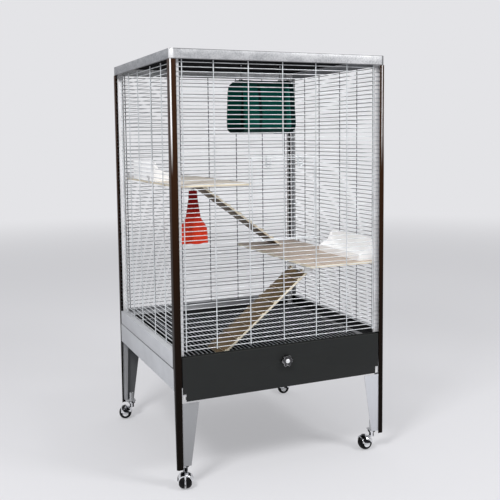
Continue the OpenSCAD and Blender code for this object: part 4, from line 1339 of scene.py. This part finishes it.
@dataclass
class FleecePouch:
    """The hanging pouch: a bell of red fleece, gathered at its neck."""

    height: float = 0.175
    hem_r: float = 0.050
    neck_r: float = 0.013
    place: Point = (-0.288, -0.250, 0.8039)
    cloth: float = 0.0025
    flatness: float = 0.8
    rings: int = 44
    sides: int = 120
    heights: tuple[float, ...] = (0.0, 0.12, 0.25, 0.33, 0.4, 0.47, 0.56, 0.7, 0.86, 1.0)
    flares: tuple[float, ...] = (1.0, 0.99, 0.94, 0.8, 0.55, 0.36, 0.27, 0.16, 0.04, 0.0)

    def flare(self, share: float) -> float:
        """The bell's flare at a share of its height, smoothed between the profile's points.

        Args:
            share: 0 at the hem, 1 at the neck.

        Returns:
            The flare, 1 at the hem and 0 at the neck.
        """
        profile = list(zip(self.heights, self.flares))
        for (h0, f0), (h1, f1) in zip(profile, profile[1:]):
            if share <= h1:
                t = (share - h0) / (h1 - h0)
                t = t * t * (3 - 2 * t) * 0.5 + t * 0.5
                return f0 + (f1 - f0) * t
        return 0.0

    def point(self, share: float, angle: float) -> Vector:
        """A point of the cloth.

        Args:
            share: Place up the bell, 0 at the hem.
            angle: Angle round it.

        Returns:
            The point.
        """
        flare = self.flare(share)
        radius = self.neck_r + (self.hem_r - self.neck_r) * flare
        fold = 1 + 0.07 * flare * math.sin(6 * angle) + 0.028 * flare * math.sin(13 * angle + 5 * share)
        pleat = 1 + 0.1 * (1 - flare) ** 2 * math.sin(14 * angle)
        r = radius * fold * pleat
        lift = 1.2 * MM * max(0.0, 1 - share * 6) * math.sin(6 * angle + 1.2)
        across, ahead = r * math.cos(angle), self.flatness * r * math.sin(angle)
        return Vector((across, ahead, share * self.height + lift)) + Vector(self.place)

    def build(self) -> list[Piece]:
        """Makes the bell, its hem and its neck cord.

        Returns:
            The new pieces.
        """
        z = self.place[2]
        # Painted shade: the red is darkest at the neck and brightest near the hem.
        colours = ((0.26, 0.006, 0.006), (0.82, 0.05, 0.014))
        red = FleeceCloth("pouch_fleece", *colours, z + 0.15, z + 0.02).material()
        turns = turns_of(self.sides)
        rings = [[self.point(i / self.rings, a) for a in turns] for i in range(self.rings + 1)]
        top = Vector(self.place) + Vector((0.0, 0.0, self.height))
        lid = [[top + (point - top) * share for point in rings[-1]] for share in (0.6, 0.15)]
        bell = skin("pouch_bell", rings + lid)
        add_modifier(bell, "SOLIDIFY", thickness=self.cloth, offset=-1.0)
        settle(bell, 60.0)
        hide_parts("pouch")
        hem = tube_along("pouch_hem", rings[0], 1.9 * MM, True)
        tie = tube_along("pouch_tie", [self.point(0.9, a) for a in turns], 1.7 * MM, True)
        paint(red, bell, hem, tie)
        for piece in (bell, hem, tie):
            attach(piece, "hanging_pouch")
        return [bell, hem, tie]


# ---- casters


@dataclass
class CasterSet:
    """Four chrome-hooded casters with twin rubber wheels and plated hub caps."""

    finishes: Finishes
    trail: float = 27.0 * MM
    wheel_r: float = 25.0 * MM
    half: float = 21.7 * MM
    hub_r: float = 11.7 * MM
    stem: tuple[float, float] = (0.365, 0.344)
    angles: tuple[float, ...] = (251.6, 174.0, 166.0, 160.0)
    hub_depth: float = 1.9 * MM
    hub_in: float = 2.0 * MM
    hub_steps: tuple[tuple[float, float], ...] = ((1.6, 0.0), (1.0, -0.6), (4.4, 0.8), (0.8, 0.5))

    def build(self) -> list[Piece]:
        """Dresses the casters and sets a cap on each outer wheel face.

        Returns:
            The new pieces.
        """
        look = self.finishes
        made = []
        middle = (0.0, 0.0, self.hub_depth / 2)
        pattern = stepped_disc(self.hub_r, self.hub_depth, middle, 0.0, 40, self.hub_steps)
        bevel(pattern, 0.3 * MM, 2, 25.0)
        for corner, degrees in zip(CORNERS, self.angles):
            made.append(eased_copy(f"caster_{corner}", 0.5 * MM, look.chrome))
            made.append(eased_copy(f"wheels_{corner}", 0.4 * MM, look.rubber))
            angle = math.radians(degrees)
            sx, sy = (1 if "right" in corner else -1), (1 if "rear" in corner else -1)
            centre = Vector((sx * self.stem[0], sy * self.stem[1], self.wheel_r))
            centre += Vector((math.cos(angle), math.sin(angle), 0.0)) * self.trail
            across = Vector((-math.sin(angle), math.cos(angle), 0.0))
            for side, name in ((1, "a"), (-1, "b")):
                cap = pattern.copy()
                cap.data = pattern.data.copy()
                bpy.context.scene.collection.objects.link(cap)
                cap.name = f"hub_{corner}_{name}"
                turn = (across * side).to_track_quat("Z", "Y").to_matrix().to_4x4()
                middle = centre + across * side * (self.half - self.hub_in)
                cap.matrix_world = Matrix.Translation(middle) @ turn
                settle(cap, 30.0)
                paint(look.hub, cap)
                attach(cap, f"wheels_{corner}")
                made.append(cap)
        bpy.data.objects.remove(pattern)
        return made


# ---- studio


@dataclass
class Studio:
    """Camera, floor, world and lamps."""

    eye: Point = (-1.152, -2.7245, 1.1585)
    yaw: float = -23.506
    pitch: float = -5.367
    roll: float = -0.594
    lens: float = 55.64
    shift_x: float = -0.0009
    shift_y: float = -0.081
    pale: Colour = display(228, 228, 231)
    fade: tuple[float, float] = (2.5, 9.0)
    glow: float = 0.46

    def camera(self) -> None:
        """Sets the camera at the photograph's place."""
        yaw, pitch, roll = (math.radians(v) for v in (self.yaw, self.pitch, self.roll))
        ahead = Vector((-math.sin(yaw) * math.cos(pitch), math.cos(yaw) * math.cos(pitch), math.sin(pitch)))
        right = Vector((math.cos(yaw), math.sin(yaw), 0.0))
        up = right.cross(ahead)
        across = right * math.cos(roll) + up * math.sin(roll)
        above = -right * math.sin(roll) + up * math.cos(roll)
        data = bpy.data.cameras.new("photo_camera")
        data.lens = self.lens
        data.sensor_width = 36.0
        data.shift_x = self.shift_x
        data.shift_y = self.shift_y
        camera = bpy.data.objects.new("photo_camera", data)
        bpy.context.scene.collection.objects.link(camera)
        turn = Matrix((across, above, -ahead)).transposed()
        camera.matrix_world = Matrix.Translation(self.eye) @ turn.to_4x4()
        bpy.context.scene.camera = camera

    def floor(self) -> Piece:
        """Makes the plain floor, which fades into the backdrop far from the cage.

        Returns:
            The floor.
        """
        deselect()
        bpy.ops.mesh.primitive_plane_add(size=240.0, location=(0.0, 0.0, 0.0))
        floor = bpy.context.object
        floor.name = "studio_floor"
        shader = Shader("studio_floor")
        x, y, _ = shader.parts(shader.place((0.0, 0.0, 0.0)))
        far = (x * x + y * y).smooth(*(reach * reach for reach in self.fade))
        diffuse = shader.read("ShaderNodeBsdfDiffuse", 0, None, {"Color": self.pale})
        glow = shader.read("ShaderNodeEmission", 0, None, {"Color": self.pale, "Strength": 1.0})
        seen = shader.read("ShaderNodeLightPath", "Is Camera Ray")
        share = seen * (far * (1.0 - self.glow) + self.glow)
        mixed = shader.read("ShaderNodeMixShader", 0, None, {0: share, 1: diffuse, 2: glow})
        paint(shader.close("ShaderNodeOutputMaterial", mixed), floor)
        return floor

    def world(self) -> None:
        """Lights the scene softly from all round, and shows a pale backdrop to the camera and to metal."""
        world = bpy.data.worlds.new("studio_world")
        bpy.context.scene.world = world
        shader = Shader(world)
        path = shader.node("ShaderNodeLightPath")
        seen, glossy, clear = (
            Channel(shader, path.outputs[f"Is {kind} Ray"]) for kind in ("Camera", "Glossy", "Transmission")
        )
        seen = seen.most(clear).most(glossy * 0.5)
        strength = seen * 0.46 + 0.54
        back = shader.read("ShaderNodeBackground", 0, None, {"Color": self.pale, "Strength": strength})
        shader.close("ShaderNodeOutputWorld", back)

    def lamp(self, name: str, place: Point, aim: Point, size: tuple[float, float], power: float) -> None:
        """Adds a soft box.

        Args:
            name: The lamp's name.
            place: Where it stands.
            aim: The point that it faces.
            size: Its width and height in metres.
            power: Its power in watts.
        """
        data = bpy.data.lights.new(name, "AREA")
        data.shape = "RECTANGLE"
        data.size, data.size_y = size
        data.energy = power
        lamp = bpy.data.objects.new(name, data)
        bpy.context.scene.collection.objects.link(lamp)
        lamp.location = place
        lamp.rotation_euler = (Vector(aim) - Vector(place)).to_track_quat("-Z", "Y").to_euler()

    def build(self) -> None:
        """Sets up the whole studio."""
        self.camera()
        self.floor()
        self.world()
        self.lamp("key_box", (-2.3, -2.0, 3.5), (0.0, 0.0, 0.4), (0.9, 0.9), 92.0)
        self.lamp("fill_box", (1.9, -2.6, 3.5), (0.0, 0.0, 0.4), (0.9, 0.9), 62.0)
        self.lamp("top_box", (0.3, 0.2, 4.4), (0.0, 0.0, 0.0), (2.0, 2.0), 20.0)
        bpy.context.scene.view_settings.view_transform = "Standard"


def main() -> None:
    """Builds every sub-assembly in order and notes each piece."""
    logging.basicConfig(level=logging.INFO, format="%(message)s")
    Studio().build()
    finishes = Finishes()
    for assembly in (
        Cabinet(finishes),
        Stand(finishes),
        GrateFloor(finishes),
        LitterDrawer(finishes),
        FrontDoor(finishes),
        ShelvesAndRamps(finishes),
        FeedTrays(finishes),
        FleeceTunnel(),
        FleecePouch(),
        CasterSet(finishes),
    ):
        for piece in assembly.build():
            log.info("%s: %s, %d faces", type(assembly).__name__, piece.name, len(piece.data.polygons))
    paint_nodes(finishes.chrome, "tunnel_hangers", "pouch_hook")


if __name__ == "__main__":
    main()
